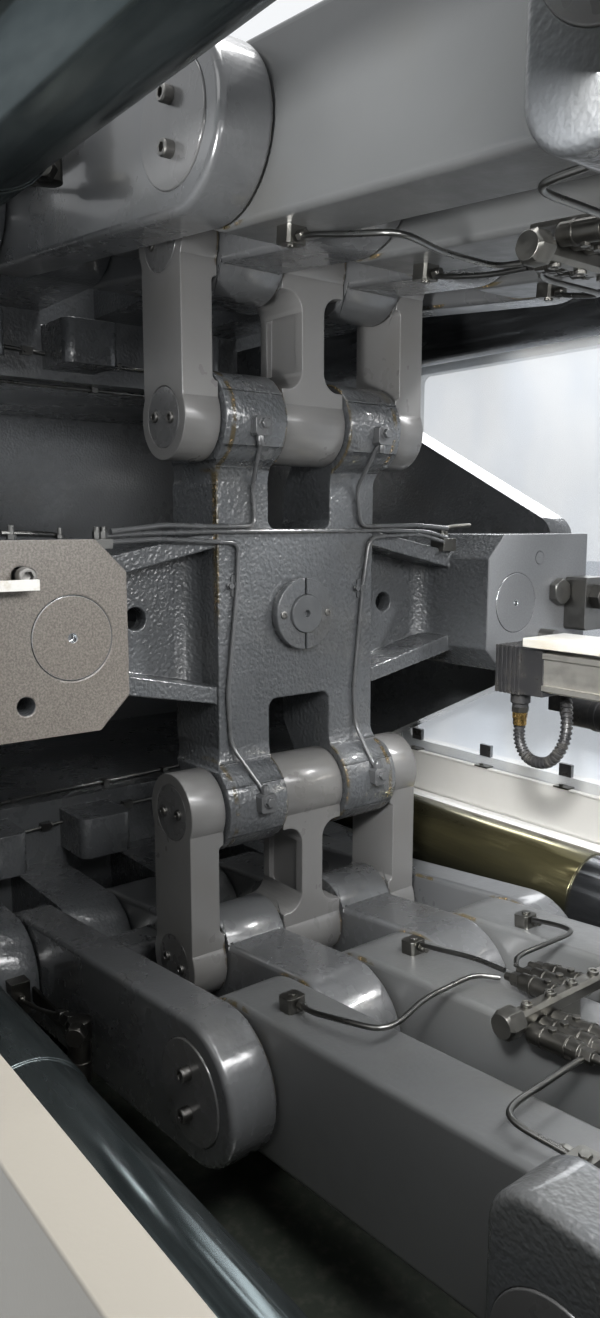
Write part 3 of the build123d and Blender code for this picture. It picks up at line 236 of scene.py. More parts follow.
class Piece:
    """A mesh made of turned, drawn and bent forms. An upper one is mirrored above the clamp axis."""

    def __init__(self, name, body, finish, upper=False):
        self.name = name
        self.body = body
        self.finish = finish
        self.upper = upper
        self.mesh = bmesh.new()

    def skin(self, low, high):
        """Faces between two rings of corners, either of which may be a single point."""
        count = max(len(low), len(high))
        for i in range(count):
            j = (i + 1) % count
            corners = [low[i % len(low)], low[j % len(low)], high[j % len(high)], high[i % len(high)]]
            corners = [c for k, c in enumerate(corners) if c not in corners[:k]]
            if len(corners) > 2:
                self.mesh.faces.new(corners)

    def turned(self, seat, profile, sides=24, tip=None):
        """A closed form from rings of (height, radius) along the seat's Z axis.

        A third entry makes a ring six-sided. The far end closes at its own height or at the tip's.
        """
        def centre(height):
            return [self.mesh.verts.new(seat @ Vector((0, 0, height)))]

        rings = [centre(profile[0][0])]
        for height, radius, *six in profile:
            ring = []
            for i in range(sides):
                turn = 2 * math.pi * i / sides
                reach = radius
                if six:
                    reach *= math.cos(math.pi / 6) / math.cos(turn % (math.pi / 3) - math.pi / 6)
                corner = Vector((reach * math.cos(turn), reach * math.sin(turn), height))
                ring.append(self.mesh.verts.new(seat @ corner))
            rings.append(ring)
        rings.append(centre(profile[-1][0] if tip is None else tip))
        for low, high in zip(rings, rings[1:]):
            self.skin(low, high)

    def drawn(self, seat, outline, low, high):
        """A straight form of the outline's section between two heights."""
        rings = [[self.mesh.verts.new(seat @ Vector((x, y, z))) for x, y in outline] for z in (low, high)]
        self.mesh.faces.new(rings[0])
        self.mesh.faces.new(rings[1])
        self.skin(*rings)

    def box(self, low, high):
        """A box between two opposite corners."""
        x, y = (low[0], high[0]), (low[1], high[1])
        outline = [(x[0], y[0]), (x[1], y[0]), (x[1], y[1]), (x[0], y[1])]
        self.drawn(Matrix(), outline, low[2], high[2])

    def swept(self, stations, sides):
        """A round form through stations of (point, way along it, radius)."""
        side = stations[0][1].orthogonal().normalized()
        rings = []
        for point, way, radius in stations:
            side = (side - way * side.dot(way)).normalized()
            up = way.cross(side)
            turns = (2 * math.pi * i / sides for i in range(sides))
            spokes = (math.cos(turn) * side + math.sin(turn) * up for turn in turns)
            rings.append([self.mesh.verts.new(point + radius * spoke) for spoke in spokes])
        for low, high in zip(rings, rings[1:]):
            self.skin(low, high)
        self.mesh.faces.new(rings[0])
        self.mesh.faces.new(rings[-1])

    def bent(self, points, bend=14.0):
        """A grease tube along straight runs that are joined by bends."""
        line = bend_line([Vector(p) for p in points], bend)
        ahead = [(b - a).normalized() for a, b in zip(line, line[1:])]
        ahead.append(ahead[-1])
        ways = [(ahead[max(k - 1, 0)] + ahead[k]).normalized() for k in range(len(line))]
        self.swept([(point, way, TUBE_R) for point, way in zip(line, ways)], TUBE_SIDES)

    def cap_screw(self, seat, size):
        """The head of a socket screw on its washer face, with its hexagon socket."""
        r = 0.75 * size
        self.turned(seat, [(0, r), (0.86 * size, r), (size, 0.88 * r), (size, 0.58 * r, True),
                           (0.45 * size, 0.56 * r, True)], tip=0.40 * size)

    def hex_head(self, seat, size):
        """A hexagon head or nut on a washer."""
        r = 0.92 * size
        self.turned(seat, [(0, 1.25 * r), (0.16 * size, 1.25 * r), (0.16 * size, 0.96 * r),
                           (0.2 * size, r, True), (0.78 * size, r, True), (0.86 * size, 0.84 * r)])

    def done(self, edge=0.5):
        """Makes the object, with a bevel of the edge's width, and hangs it on its body."""
        bmesh.ops.recalc_face_normals(self.mesh, faces=self.mesh.faces)
        data = bpy.data.meshes.new(self.name)
        self.mesh.to_mesh(data)
        self.mesh.free()
        to_scene = Matrix.Scale(MM, 4)
        if self.upper:
            mirror = Matrix.Translation((0, 0, 2 * AXIS_Z)) @ Matrix.Scale(-1, 4, (0, 0, 1))
            data.transform(to_scene @ mirror)
            data.flip_normals()
        else:
            data.transform(to_scene)
        data.polygons.foreach_set("use_smooth", [True] * len(data.polygons))
        data.set_sharp_from_angle(angle=math.radians(32))
        data.materials.append(self.finish)
        piece = bpy.data.objects.new(self.name, data)
        bpy.context.scene.collection.objects.link(piece)
        if edge:
            round_edges(piece, edge, 40)
        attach(piece, self.body)
        return piece


def bend_line(points, bend):
    """The points of a tube's middle line, with an arc-like curve in place of each corner."""
    line = [points[0]]
    for before, corner, after in zip(points, points[1:], points[2:]):
        cut_in = min(bend, 0.45 * (corner - before).length)
        cut_out = min(bend, 0.45 * (after - corner).length)
        start = corner + (before - corner).normalized() * cut_in
        end = corner + (after - corner).normalized() * cut_out
        for step in range(7):
            t = step / 6
            line.append(start * (1 - t) ** 2 + corner * 2 * t * (1 - t) + end * t ** 2)
    line.append(points[-1])
    return line


def place(at, toward=(0, 0, 1), turn=0.0):
    """A frame at a point whose Z axis looks toward a direction, turned about it by some degrees."""
    look = Vector(toward).to_track_quat("Z", "Y").to_matrix().to_4x4()
    return Matrix.Translation(at) @ look @ Matrix.Rotation(math.radians(turn), 4, "Z")


def rounded_box(width, height, corner=3.0):
    """The outline of a rectangle with small cut corners, about the middle."""
    x, y, c = width / 2, height / 2, corner
    return [(-x + c, -y), (x - c, -y), (x, -y + c), (x, y - c),
            (x - c, y), (-x + c, y), (-x, y - c), (-x, -y + c)]


def route_line(name, points):
    """The vertices of a smooth curve that has the points, in millimetres, as its control points."""
    line = bpy.data.curves.new(name, "CURVE")
    line.dimensions = "3D"
    spline = line.splines.new("NURBS")
    spline.points.add(len(points) - 1)
    for control, at in zip(spline.points, points):
        control.co = (*at, 1)
    spline.order_u = 3
    spline.use_endpoint_u = True
    line.resolution_u = 40
    carrier = bpy.data.objects.new(name, line)
    bpy.context.scene.collection.objects.link(carrier)
    path = [vertex.co.copy() for vertex in bpy.data.meshes.new_from_object(carrier).vertices]
    bpy.data.objects.remove(carrier)
    return path


OIL = (0.052, 0.039, 0.015)
RUST = (0.30, 0.20, 0.10)


def seam_oil(n, side, y, reach, pins):
    """Oil in the gap between two eyes, at a distance from the middle plane, near the pins."""
    line = n.near(n.math("ABSOLUTE", n.axes["Y"]), y, reach, 3.0)
    line = n.times(line, n.less(1.0, side))
    line = n.times(line, n.around(pins))
    return n.times(line, n.curve(n.noise(16, 3), 0.36, 0.58))


def plate_edge_oil(n):
    """Oil along the near edge of the crosshead's body plate, above the clamp axis."""
    edge = n.times(n.near(n.axes["Y"], -145, 1.5, 2.5), n.curve(n.axes["X"], 0.025, 0.032))
    edge = n.times(edge, n.near(n.axes["Z"], AXIS_Z + 140, 110, 60))
    return n.times(edge, n.curve(n.noise(9, 3), 0.30, 0.50))


def cast_enamel(name, color, light, peel, lump, flats=0.0, seams=(), blocks=False, matt=0.0):
    """Machine enamel over a casting: peel and lumps in millimetres, and oil in the seams around the pins.

    Flats is how much paler the milled sides are. Blocks leaves the guide blocks' faces bare.
    """
    n = Nodes(name)
    patches = n.curve(n.noise(320, 2, 0.4), 0.30, 0.72)
    tone = n.mix(patches, color, light)
    grain = n.noise(5.4, 1.0, 0.4)
    lumps = n.noise(42, 2.0, 0.5)
    side = n.facing_sideways()
    if blocks:
        face = n.near(n.axes["X"], BLOCK_FACE_X, 0.6, 0.8)
        cast = n.less(1.0, face)
        grain = n.times(grain, cast)
        lumps = n.times(lumps, cast)
    if flats:
        tone = n.mix(n.times(side, flats), tone, tuple(1.35 * c for c in light))
        milled = n.blend(side, 1.0, 0.15)
        grain = n.times(grain, milled)
        lumps = n.times(lumps, milled)
    dust = n.curve(n.noise(190, 1.5, 0.4), 0.40, 0.75)
    gloss = n.curve(n.noise(24, 2), 0.3, 0.7, 0.20 + matt, 0.30 + matt)
    rough = n.blend(dust, gloss, 0.40 + matt)
    oil = n.times(n.curve(n.noise(120, 1.5, 0.4), 0.55, 0.75), 0.12)
    for y, reach, pins in seams:
        oil = n.plus(oil, seam_oil(n, side, y, reach, pins))
    if blocks:
        oil = n.plus(oil, plate_edge_oil(n))
    tone = n.mix(n.times(oil, 0.85), tone, OIL)
    flecks = n.times(n.curve(n.noise(4, 2), 0.62, 0.68), n.curve(oil, 0.4, 0.9))
    tone = n.mix(flecks, tone, RUST)
    rough = n.blend(oil, rough, 0.08)
    if blocks:
        tone = n.mix(face, tone, block_face_tone(n))
        rough = n.blend(face, rough, 0.36)
    normal = n.bump(grain, peel, 0.7, n.bump(lumps, lump, 0.5))
    return n.surface(tone, rough, normal, Metallic=0.0, Coat_Weight=0.5 - 2 * matt,
                     Coat_Roughness=0.10 + matt)


def block_face_tone(n):
    """The bare faces of the guide blocks: brown on the near side, grey on the far one."""
    speckle = n.curve(n.noise(2.6, 3, 0.75), 0.34, 0.68)
    brown = n.mix(speckle, (0.098, 0.086, 0.074), (0.185, 0.168, 0.148))
    grey = n.mix(speckle, (0.098, 0.101, 0.105), (0.128, 0.131, 0.135))
    return n.mix(n.curve(n.axes["Y"], 0.05, -0.05), grey, brown)


def plain_metal(name, color, rough_low, rough_high, grain=(1, 1, 1), grain_size=4.0,
                metallic=1.0, depth=0.05):
    """Bare or plated metal with the fine lines of its machining."""
    n = Nodes(name)
    lines = n.noise(grain_size, 4, 0.6, n.stretched(*grain))
    stain = n.curve(n.noise(30, 4), 0.45, 0.7)
    tone = n.mix(n.times(stain, 0.45), color, tuple(c * 0.55 for c in color))
    rough = n.curve(lines, 0.3, 0.7, rough_low, rough_high)
    return n.surface(tone, rough, n.bump(lines, depth, 0.5), Metallic=metallic)


def plain_plastic(name, color, dirt, rough, depth=0.1):
    """Moulded plastic or rubber with smears of grease."""
    n = Nodes(name)
    smears = n.curve(n.noise(22, 4, 0.6), 0.45, 0.7)
    tone = n.mix(smears, color, dirt)
    shine = n.blend(smears, rough, rough * 0.55)
    return n.surface(tone, shine, n.bump(n.noise(3, 2), depth, 0.4))


def rod_end(name, steel, from_x, paint=None):
    """Ground steel that ends, beyond a place along X, in a painted face or one like the guide blocks'."""
    n = Nodes(name)
    end = n.curve(n.axes["X"], (from_x - 0.5) * MM, from_x * MM)
    face = block_face_tone(n)
    if paint:
        face = n.mix(n.curve(n.noise(30, 3), 0.35, 0.65), paint, tuple(1.3 * c for c in paint))
    lines = n.noise(8, 3, 0.5, n.stretched(0.1, 1, 1))
    tone = n.mix(end, steel, face)
    rough = n.blend(end, 0.18, 0.36)
    return n.surface(tone, rough, n.bump(lines, 0.06, 0.4), Metallic=n.less(1.0, end))


def bar_steel():
    """Ground tie bars under a film of oil, golden on the far lower bar's sleeve, whose lower half is
    darkened as painted shade.
    """
    n = Nodes("oiled_tie_bar")
    film = n.curve(n.noise(60, 4, 0.6, n.stretched(0.25, 1, 1)), 0.35, 0.65)
    golden = n.mix(film, (0.165, 0.148, 0.075), (0.090, 0.083, 0.046))
    # Painted shade: the golden sleeve is darkened toward its lower half, by height.
    golden = n.mix(n.curve(n.axes["Z"], 0.775, 0.845), (0.040, 0.040, 0.026), golden)
    dark = n.mix(film, (0.050, 0.053, 0.056), (0.10, 0.105, 0.11))
    blue = n.mix(film, (0.050, 0.062, 0.064), (0.085, 0.100, 0.102))
    oiled = n.times(n.curve(n.axes["X"], 0.222, 0.210), n.curve(n.axes["Z"], 1.31, 1.29))
    far = n.mix(oiled, dark, golden)
    tone = n.mix(n.curve(n.axes["Y"], -0.05, 0.05), blue, far)
    fine = n.noise(6, 3, 0.5, n.stretched(0.08, 1, 1))
    return n.surface(tone, n.blend(film, 0.14, 0.28), n.bump(fine, 0.05, 0.4), Metallic=0.85)


def powder_coat(name, color, shade):
    """Powder coating on sheet metal, with a little grime."""
    n = Nodes(name)
    grime = n.curve(n.noise(180, 5, 0.6), 0.5, 0.78)
    fine = n.noise(2.2, 2)
    tone = n.mix(n.times(grime, 0.6), color, shade)
    return n.surface(tone, n.blend(grime, 0.36, 0.5), n.bump(fine, 0.12, 0.4), Metallic=0.0)


def clear_pane():
    """A thin plastic pane with the creases of its protective film, and a painted sheen along the creases.
    """
    n = Nodes("creased_clear_pane")
    creases = n.noise(120, 3, 0.6, n.stretched(1, 1, 0.35))
    # Painted sheen: the pane's colour runs from blue to near white with its creases.
    painted_sheen = n.mix(n.curve(creases, 0.4, 0.62), (0.70, 0.77, 0.86), (0.90, 0.93, 0.96))
    rough = n.curve(creases, 0.35, 0.7, 0.12, 0.3)
    return n.surface(painted_sheen, rough, n.bump(creases, 8.0, 0.6), Metallic=0.0, Alpha=0.24)


# Turning points with how far their oil reaches, and the seams between the eyes there. A seam is its
# distance from the middle plane, its half width and its turning points
KNEE_EYE = (*KNEE_PIN, 88)
MID_EYE = (*MID_PIN, 56)
CROSS_EYE = (*CROSS_PIN, 66)
ARM_SEAMS = [(y, 3, (KNEE_EYE, MID_EYE)) for y in (56, 159, 258)]
HEAD_SEAMS = [(y, 2, (CROSS_EYE,)) for y in (57, 146)]

casting = cast_enamel("enamel_on_casting", (0.054, 0.057, 0.060), (0.078, 0.082, 0.086), 1.6, 1.6)
rear_paint = cast_enamel("enamel_on_rear_arms", (0.060, 0.062, 0.064), (0.074, 0.076, 0.078), 0.3, 0.9,
                         0.3, ARM_SEAMS)
front_paint = cast_enamel("enamel_on_front_arms", (0.058, 0.060, 0.061), (0.078, 0.080, 0.080), 0.30, 0.8,
                          0.3, ARM_SEAMS, matt=0.12)
link_paint = cast_enamel("enamel_on_links", (0.106, 0.105, 0.103), (0.122, 0.120, 0.117), 0.05, 0.3,
                         0.2, ARM_SEAMS, matt=0.06)
head_paint = cast_enamel("enamel_on_crosshead", (0.052, 0.055, 0.058), (0.070, 0.074, 0.078), 3.0, 1.8,
                         seams=HEAD_SEAMS, blocks=True)
cover_paint = cast_enamel("enamel_on_covers", (0.070, 0.070, 0.070), (0.098, 0.098, 0.098), 0.10, 0.4)
bed_paint = cast_enamel("enamel_on_bed", (0.060, 0.064, 0.070), (0.085, 0.088, 0.094), 0.2, 0.7)
tube_paint = cast_enamel("enamel_on_tubes", (0.050, 0.052, 0.054), (0.080, 0.082, 0.084), 0.08, 0.2)
tie_bar = bar_steel()
rod_steel = rod_end("guide_rod_steel", (0.44, 0.45, 0.46), BLOCK_FACE_X)
piston_steel = rod_end("piston_rod_steel", (0.52, 0.53, 0.54), HEAD_FRONT_X - 10, (0.062, 0.065, 0.068))
white_coat = powder_coat("white_powder_coat", (0.84, 0.84, 0.82), (0.74, 0.73, 0.70))
cream = powder_coat("cream_powder_coat", (0.58, 0.57, 0.54), (0.48, 0.46, 0.42))
# Painted shade: the near guard gets a darker copy of the guards' cream paint.
shaded_guard_cream = powder_coat("guard_cream_in_painted_shade", (0.236, 0.218, 0.186), (0.196, 0.179, 0.152))
oily_tray = plain_plastic("oily_tray", (0.030, 0.034, 0.028), (0.046, 0.049, 0.040), 0.16, 0.3)
white_paint = powder_coat("white_enamel", (0.50, 0.50, 0.48), (0.40, 0.34, 0.22))
ground = plain_metal("ground_steel", (0.44, 0.45, 0.46), 0.16, 0.30)
dark_steel = plain_metal("dark_steel", (0.12, 0.12, 0.125), 0.28, 0.42)
screw_steel = plain_metal("oiled_screws", (0.20, 0.195, 0.185), 0.34, 0.46, grain_size=10.0, depth=0.02)
bracket_steel = plain_metal("oiled_bracket_steel", (0.17, 0.168, 0.16), 0.30, 0.42,
                            grain_size=20.0, depth=0.02)
fitting_steel = plain_metal("zinc_plated_fittings", (0.15, 0.147, 0.135), 0.28, 0.42,
                            grain_size=14.0, depth=0.02)
distributor_steel = plain_metal("dull_distributors", (0.095, 0.092, 0.084), 0.30, 0.44,
                                grain_size=14.0, depth=0.02)
tube_steel = plain_metal("oiled_tubes", (0.135, 0.135, 0.130), 0.26, 0.34, grain_size=60.0, depth=0.01)
brass = plain_metal("oiled_brass", (0.50, 0.33, 0.12), 0.20, 0.36)
aluminium = plain_metal("drawn_aluminium", (0.62, 0.60, 0.55), 0.30, 0.44,
                        grain=(0.03, 1, 1), grain_size=3.0, metallic=0.9)
black_plastic = plain_plastic("black_plastic", (0.020, 0.020, 0.021), (0.045, 0.043, 0.040), 0.38)
black_rubber = plain_plastic("black_rubber", (0.018, 0.018, 0.019), (0.05, 0.048, 0.044), 0.45, 0.2)
white_plastic = plain_plastic("white_plastic", (0.62, 0.61, 0.58), (0.40, 0.32, 0.20), 0.36)
pane = clear_pane()

SLOT_FINISH = {"casting_paint": casting, "tie_bar_steel": tie_bar, "ground_steel": ground,
               "guard_paint": cream, "bed_paint": bed_paint, "bare_aluminium": aluminium,
               "dark_steel": dark_steel, "clear_pane": pane}
KIND_FINISH = {"small_links": link_paint, "rear_link": rear_paint, "front_arm": front_paint}
OWN_FINISH = {"crosshead": head_paint, "guide_rods": rod_steel, "piston_rod": piston_steel,
              "guard_near": shaded_guard_cream, "drip_plate": oily_tray}
EDGES = {"moving_platen": 3.0, "stationary_platen": 3.0, "crosshead": 2.5}
SLOTS = {part["node"]: part["material_slot"] for part in frame["record"]["subparts"]}


def finish_of(name):
    """The finish of a CAD node: the one for its name, or for its kind, or else for its slot."""
    if "covers" in name:
        return cover_paint
    for start, finish in KIND_FINISH.items():
        if name.startswith(start):
            return finish
    return OWN_FINISH.get(name, SLOT_FINISH[SLOTS[name]])


def finish_cad_node(name):
    """Gives a CAD node its finish, joins its triangles into flat faces and rounds its edges."""
    piece = nodes[name]
    piece.data.materials.clear()
    piece.data.materials.append(finish_of(name))
    weld = piece.modifiers.new("weld", "WELD")
    weld.merge_threshold = 0.02 * MM
    flat = piece.modifiers.new("flat_faces", "DECIMATE")
    flat.decimate_type = "DISSOLVE"
    flat.angle_limit = math.radians(0.6)
    round_edges(piece, EDGES.get(name, 1.5), 38).use_clamp_overlap = False


def cover_screws():
    """Two cap screws in each keeper cover of the pins, on both sides of the machine."""
    cover_reach, end_reach = 26, 20
    for level, sign in LEVELS.items():
        upper = sign > 0
        for node, body, pin in (
            (f"knee_pin_covers_{level}", f"rear_unit_{level}", KNEE_PIN),
            ("tail_pin_covers", "machine_frame", TAIL_PIN),
            ("platen_pin_covers", "machine_frame", FRONT_PIN),
        ):
            name = f"{node}_screws_{level}" if body == "machine_frame" else f"{node}_screws"
            screws = Piece(name, body, screw_steel, upper)
            low, high = (corner.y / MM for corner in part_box(node))
            for face, way in ((low, NEAR), (high, FAR)):
                for side in (-1, 1):
                    at = (pin[0], face, AXIS_Z - pin[1] + side * cover_reach)
                    screws.cap_screw(place(at, way, 20 * side), 12)
            screws.done()
        for node, body, pin, tilt in (
            ("crosshead_pins", "crosshead_unit", CROSS_PIN, 5),
            (f"mid_pin_{level}", f"small_unit_{level}", MID_PIN, -8),
        ):
            screws = Piece(f"{node}_end_screws_{level}", body, screw_steel, upper)
            low, high = (corner.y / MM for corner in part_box(node))
            lean = math.radians(tilt)
            for face, way in ((low, NEAR), (high, FAR)):
                for reach in (-end_reach, end_reach):
                    at = (pin[0] + reach * math.cos(lean), face, AXIS_Z - pin[1] + reach * math.sin(lean))
                    screws.cap_screw(place(at, way, 10), 10)
            screws.done()


def crosshead_lines():
    """Grease tubes, clips and blocks on the front of the crosshead."""
    x = HEAD_FRONT_X + TUBE_R + 1
    pad = 89
    top = AXIS_Z + 124
    tubes = Piece("crosshead_grease_tubes", "crosshead_unit", tube_paint)
    for run in (
        [(58, -330, 1416), (x + 4, -262, top - 5), (x, -170, top - 3), (x, 170, top - 3), (44, 262, 1418),
         (34, 318, 1408)],
        [(66, -322, 1409), (x + 6, -240, top - 12), (x, -150, top - 17), (x, -112, top - 19),
         (x, -115, 1345), (x, -133, 1190), (x, -128, 1118), (81, -104, 1062), (pad, -101, 1052)],
        [(40, 312, 1400), (x + 4, 240, top - 10), (x, 160, top - 12), (x, 134, top - 16), (x, 121, 1332),
         (x, 104, 1176), (x, 108, 1116), (82, 112, 1060), (pad, 114, 1054)],
        [(64, -318, 1422), (x + 8, -232, top + 6), (x + 1, -160, top + 4), (x + 1, -84, top + 4),
         (x + 1, -88, 1486), (80, -100, 1538), (pad, -104, 1548)],
        [(52, 300, 1424), (x + 6, 236, top + 5), (x + 1, 160, top + 4), (x + 1, 114, top + 4),
         (x + 1, 106, 1484), (80, 110, 1538), (pad, 113, 1548)],
    ):
        tubes.bent(run)
    tubes.done(edge=0)

    clips = Piece("crosshead_tube_clips", "crosshead_unit", tube_paint)
    for y, z in ((-114, 1345), (121, 1332)):
        clips.drawn(place((HEAD_FRONT_X, y - 2, z), FRONT), rounded_box(15, 30, 2), 0, 2.2)
        clips.turned(place((HEAD_FRONT_X + 2, y, z - 5)), [(0, 5.6), (10, 5.6)], 18)
        clips.hex_head(place((HEAD_FRONT_X + 2, y - 11, z), FRONT), 5)
    clips.done()

    blocks = Piece("crosshead_grease_blocks", "crosshead_unit", tube_paint)
    for y, z, tail in ((-106, 1561, -1), (115, 1560, -1), (-101, 1039, 1), (115, 1042, 1)):
        blocks.drawn(place((82, y, z), FRONT), rounded_box(26, 26), 0, 16)
        blocks.hex_head(place((98, y, z + 3), FRONT), 8)
        blocks.turned(place((pad, y, z + tail * 12), (0, 0, tail)),
                      [(0, 6, True), (8, 6, True), (9, 5), (13, 4.4)])
    blocks.done()


def block_fittings():
    """Tee pieces and small manifolds where the grease lines cross the guide blocks."""
    near = Piece("guide_block_fittings_near", "crosshead_unit", tube_steel)
    near.box((48, -352, 1401), (78, -322, 1413))
    for y in (-337, -328):
        near.turned(place((64, y, 1413)), [(0, 5.4, True), (9, 5.4, True), (10, 4), (15, 4)])
    near.turned(place((60, -352, 1407), NEAR), [(0, 5.6, True), (10, 5.6, True), (10, 3.4), (17, 3.4)])
    near.bent([(60, -365, 1407), (72, -392, 1418), (96, -424, 1420), (99, -452, 1421), (99, -470, 1421)])
    near.turned(place((99, -458, 1414)), [(0, 6, True), (6, 6, True), (6, 4), (16, 4)])
    near.turned(place((80, -392, 1414)), [(0, 4.6, True), (5, 4.6, True), (5, 3), (13, 3)])
    near.done()

    far = Piece("guide_block_fittings_far", "crosshead_unit", fitting_steel)
    far.box((14, 300, 1386), (44, 330, 1407))
    far.turned(place((28, 312, 1407)), [(0, 6, True), (8, 6, True), (8, 4.4), (18, 4.4)])
    far.turned(place((28, 322, 1407)), [(0, 4.5, True), (5, 4.5, True), (6, 3), (12, 3)])
    far.bent([(30, 318, 1424), (36, 330, 1427), (46, 362, 1429)])
    far.done()

    y, z = -BLOCK_HOLE_AT[0], AXIS_Z + BLOCK_HOLE_AT[1]
    screws = Piece("guide_block_screws", "crosshead_unit", screw_steel)
    screws.cap_screw(place((128, y, z), FRONT), 14)
    screws.turned(place((100, y, z), FRONT), [(0, 7), (29, 7)])
    screws.done()

    bracket = Piece("near_switch_bracket", "crosshead_unit", white_plastic)
    bracket.box((BRACKET_X, -500, 1361), (139.5, -446, 1369))
    bracket.box((140, -585, 1359), (146, -446, 1371))
    bracket.box((140, -585, 1318), (146, -494, 1347))
    bracket.done()


def far_block_bracket():
    """The switch bracket and the hydraulic stop on the far guide block, with their bolts."""
    y, z = BLOCK_HOLE_AT[0], AXIS_Z + BLOCK_HOLE_AT[1]
    plug = Piece("far_block_plug", "crosshead_unit", head_paint)
    plug.turned(place((112, y, z), FRONT), [(0, 10.4), (8, 10.4), (8, 9.6), (8.1, 9.6)])
    plug.done(0)
    steel = Piece("far_block_bracket", "crosshead_unit", bracket_steel)
    steel.drawn(place((BRACKET_X, 562, 1293), FRONT), rounded_box(66, 92, 4), 0, 44)
    steel.turned(place((BRACKET_X, 507, 1314), FRONT, 30), [(0, 24, True), (12, 24, True), (14, 21)])
    steel.turned(place((BRACKET_X, 470, 1240), FRONT), [(0, 12), (30, 12)])
    steel.turned(place((BRACKET_X + 44, 562, 1306), FRONT),
                 [(0, 24, True), (18, 24, True), (20, 17), (34, 17)])
    steel.done(0.8)

    stop = Piece("far_stop_cylinder", "crosshead_unit", black_rubber)
    stop.turned(place((BRACKET_X, 505, 1214), FRONT), [(0, 12), (36, 12)])
    stop.turned(place((150, 505, 1110), FRONT),
                [(0, 18), (8, 25), (18, 27), (64, 27), (64, 29), (76, 29), (76, 26), (150, 26),
                 (154, 22)], 32)
    stop.box((124, 490, 1106), (150, 520, 1226))
    stop.done(1.0)


def transducer():
    """The far switch rail: ribbed end cap, cover plate, slide and the corrugated lead below the cap."""
    rail_end_x = 1018
    cap = Piece("transducer_end_cap", "machine_frame", black_plastic)
    for k in range(6):
        x = 151 + 8.6 * k
        cap.box((x, 313, 1163), (x + 5.4, 387, 1240))
    cap.box((150, 315, 1165), (243, 385, 1238))
    cap.turned(place((184, 338, 1165), DOWN), [(0, 16), (18, 16), (20, 13), (26, 13)])
    cap.done(0.8)
    nut = Piece("transducer_gland", "machine_frame", brass)
    nut.turned(place((184, 338, 1131), DOWN), [(0, 13, True), (9, 13, True), (10, 11), (21, 11)])
    nut_ring = Piece("transducer_gland_nut", "machine_frame", fitting_steel)
    nut_ring.turned(place((184, 338, 1140), DOWN), [(0, 14.5, True), (8, 14.5, True), (9, 12)])
    gland = [nut.done(), nut_ring.done()]
    plate = Piece("transducer_cover_plate", "machine_frame", white_paint)
    plate.box((214, 300, 1243), (rail_end_x, 404, 1257))
    plate.done(1.2)
    slide = Piece("transducer_slide_rails", "machine_frame", aluminium)
    for z in (1226, 1176):
        slide.box((243, 312, z), (rail_end_x, 318.5, z + 9))
        slide.box((243, 381.5, z), (rail_end_x, 388, z + 9))
    slide.box((420, 308, 1208), (470, 318, 1244))
    slide.done(0.8)
    transducer_lead()


def transducer_lead():
    """The corrugated lead that leaves the end cap downward and comes back to the rail's underside."""
    points = [(184, 338, 1146), (184, 338, 1116), (184, 337, 1080), (206, 336, 1054), (246, 338, 1056),
              (268, 344, 1092), (262, 356, 1132), (240, 378, 1170), (214, 402, 1204), (205, 405, 1228),
              (205, 398, 1243)]
    path = route_line("transducer_lead_route", points)
    lead = Piece("transducer_lead", "machine_frame", black_rubber)
    stations = []
    for k, at in enumerate(path):
        ahead = path[min(k + 1, len(path) - 1)] - path[max(k - 1, 0)]
        on_rib = k % 8 in (1, 2, 3, 4)
        stations.append((at, ahead.normalized(), LEAD_R if on_rib else LEAD_GROOVE_R))
    lead.swept(stations, LEAD_SIDES)
    lead.done(edge=0)


def arm_top(x, rise=0.0):
    """The height of the lower front arms' top edge at X, and of a point above it."""
    return ARM_TOP_AT_ZERO + ARM_SLOPE * x + rise


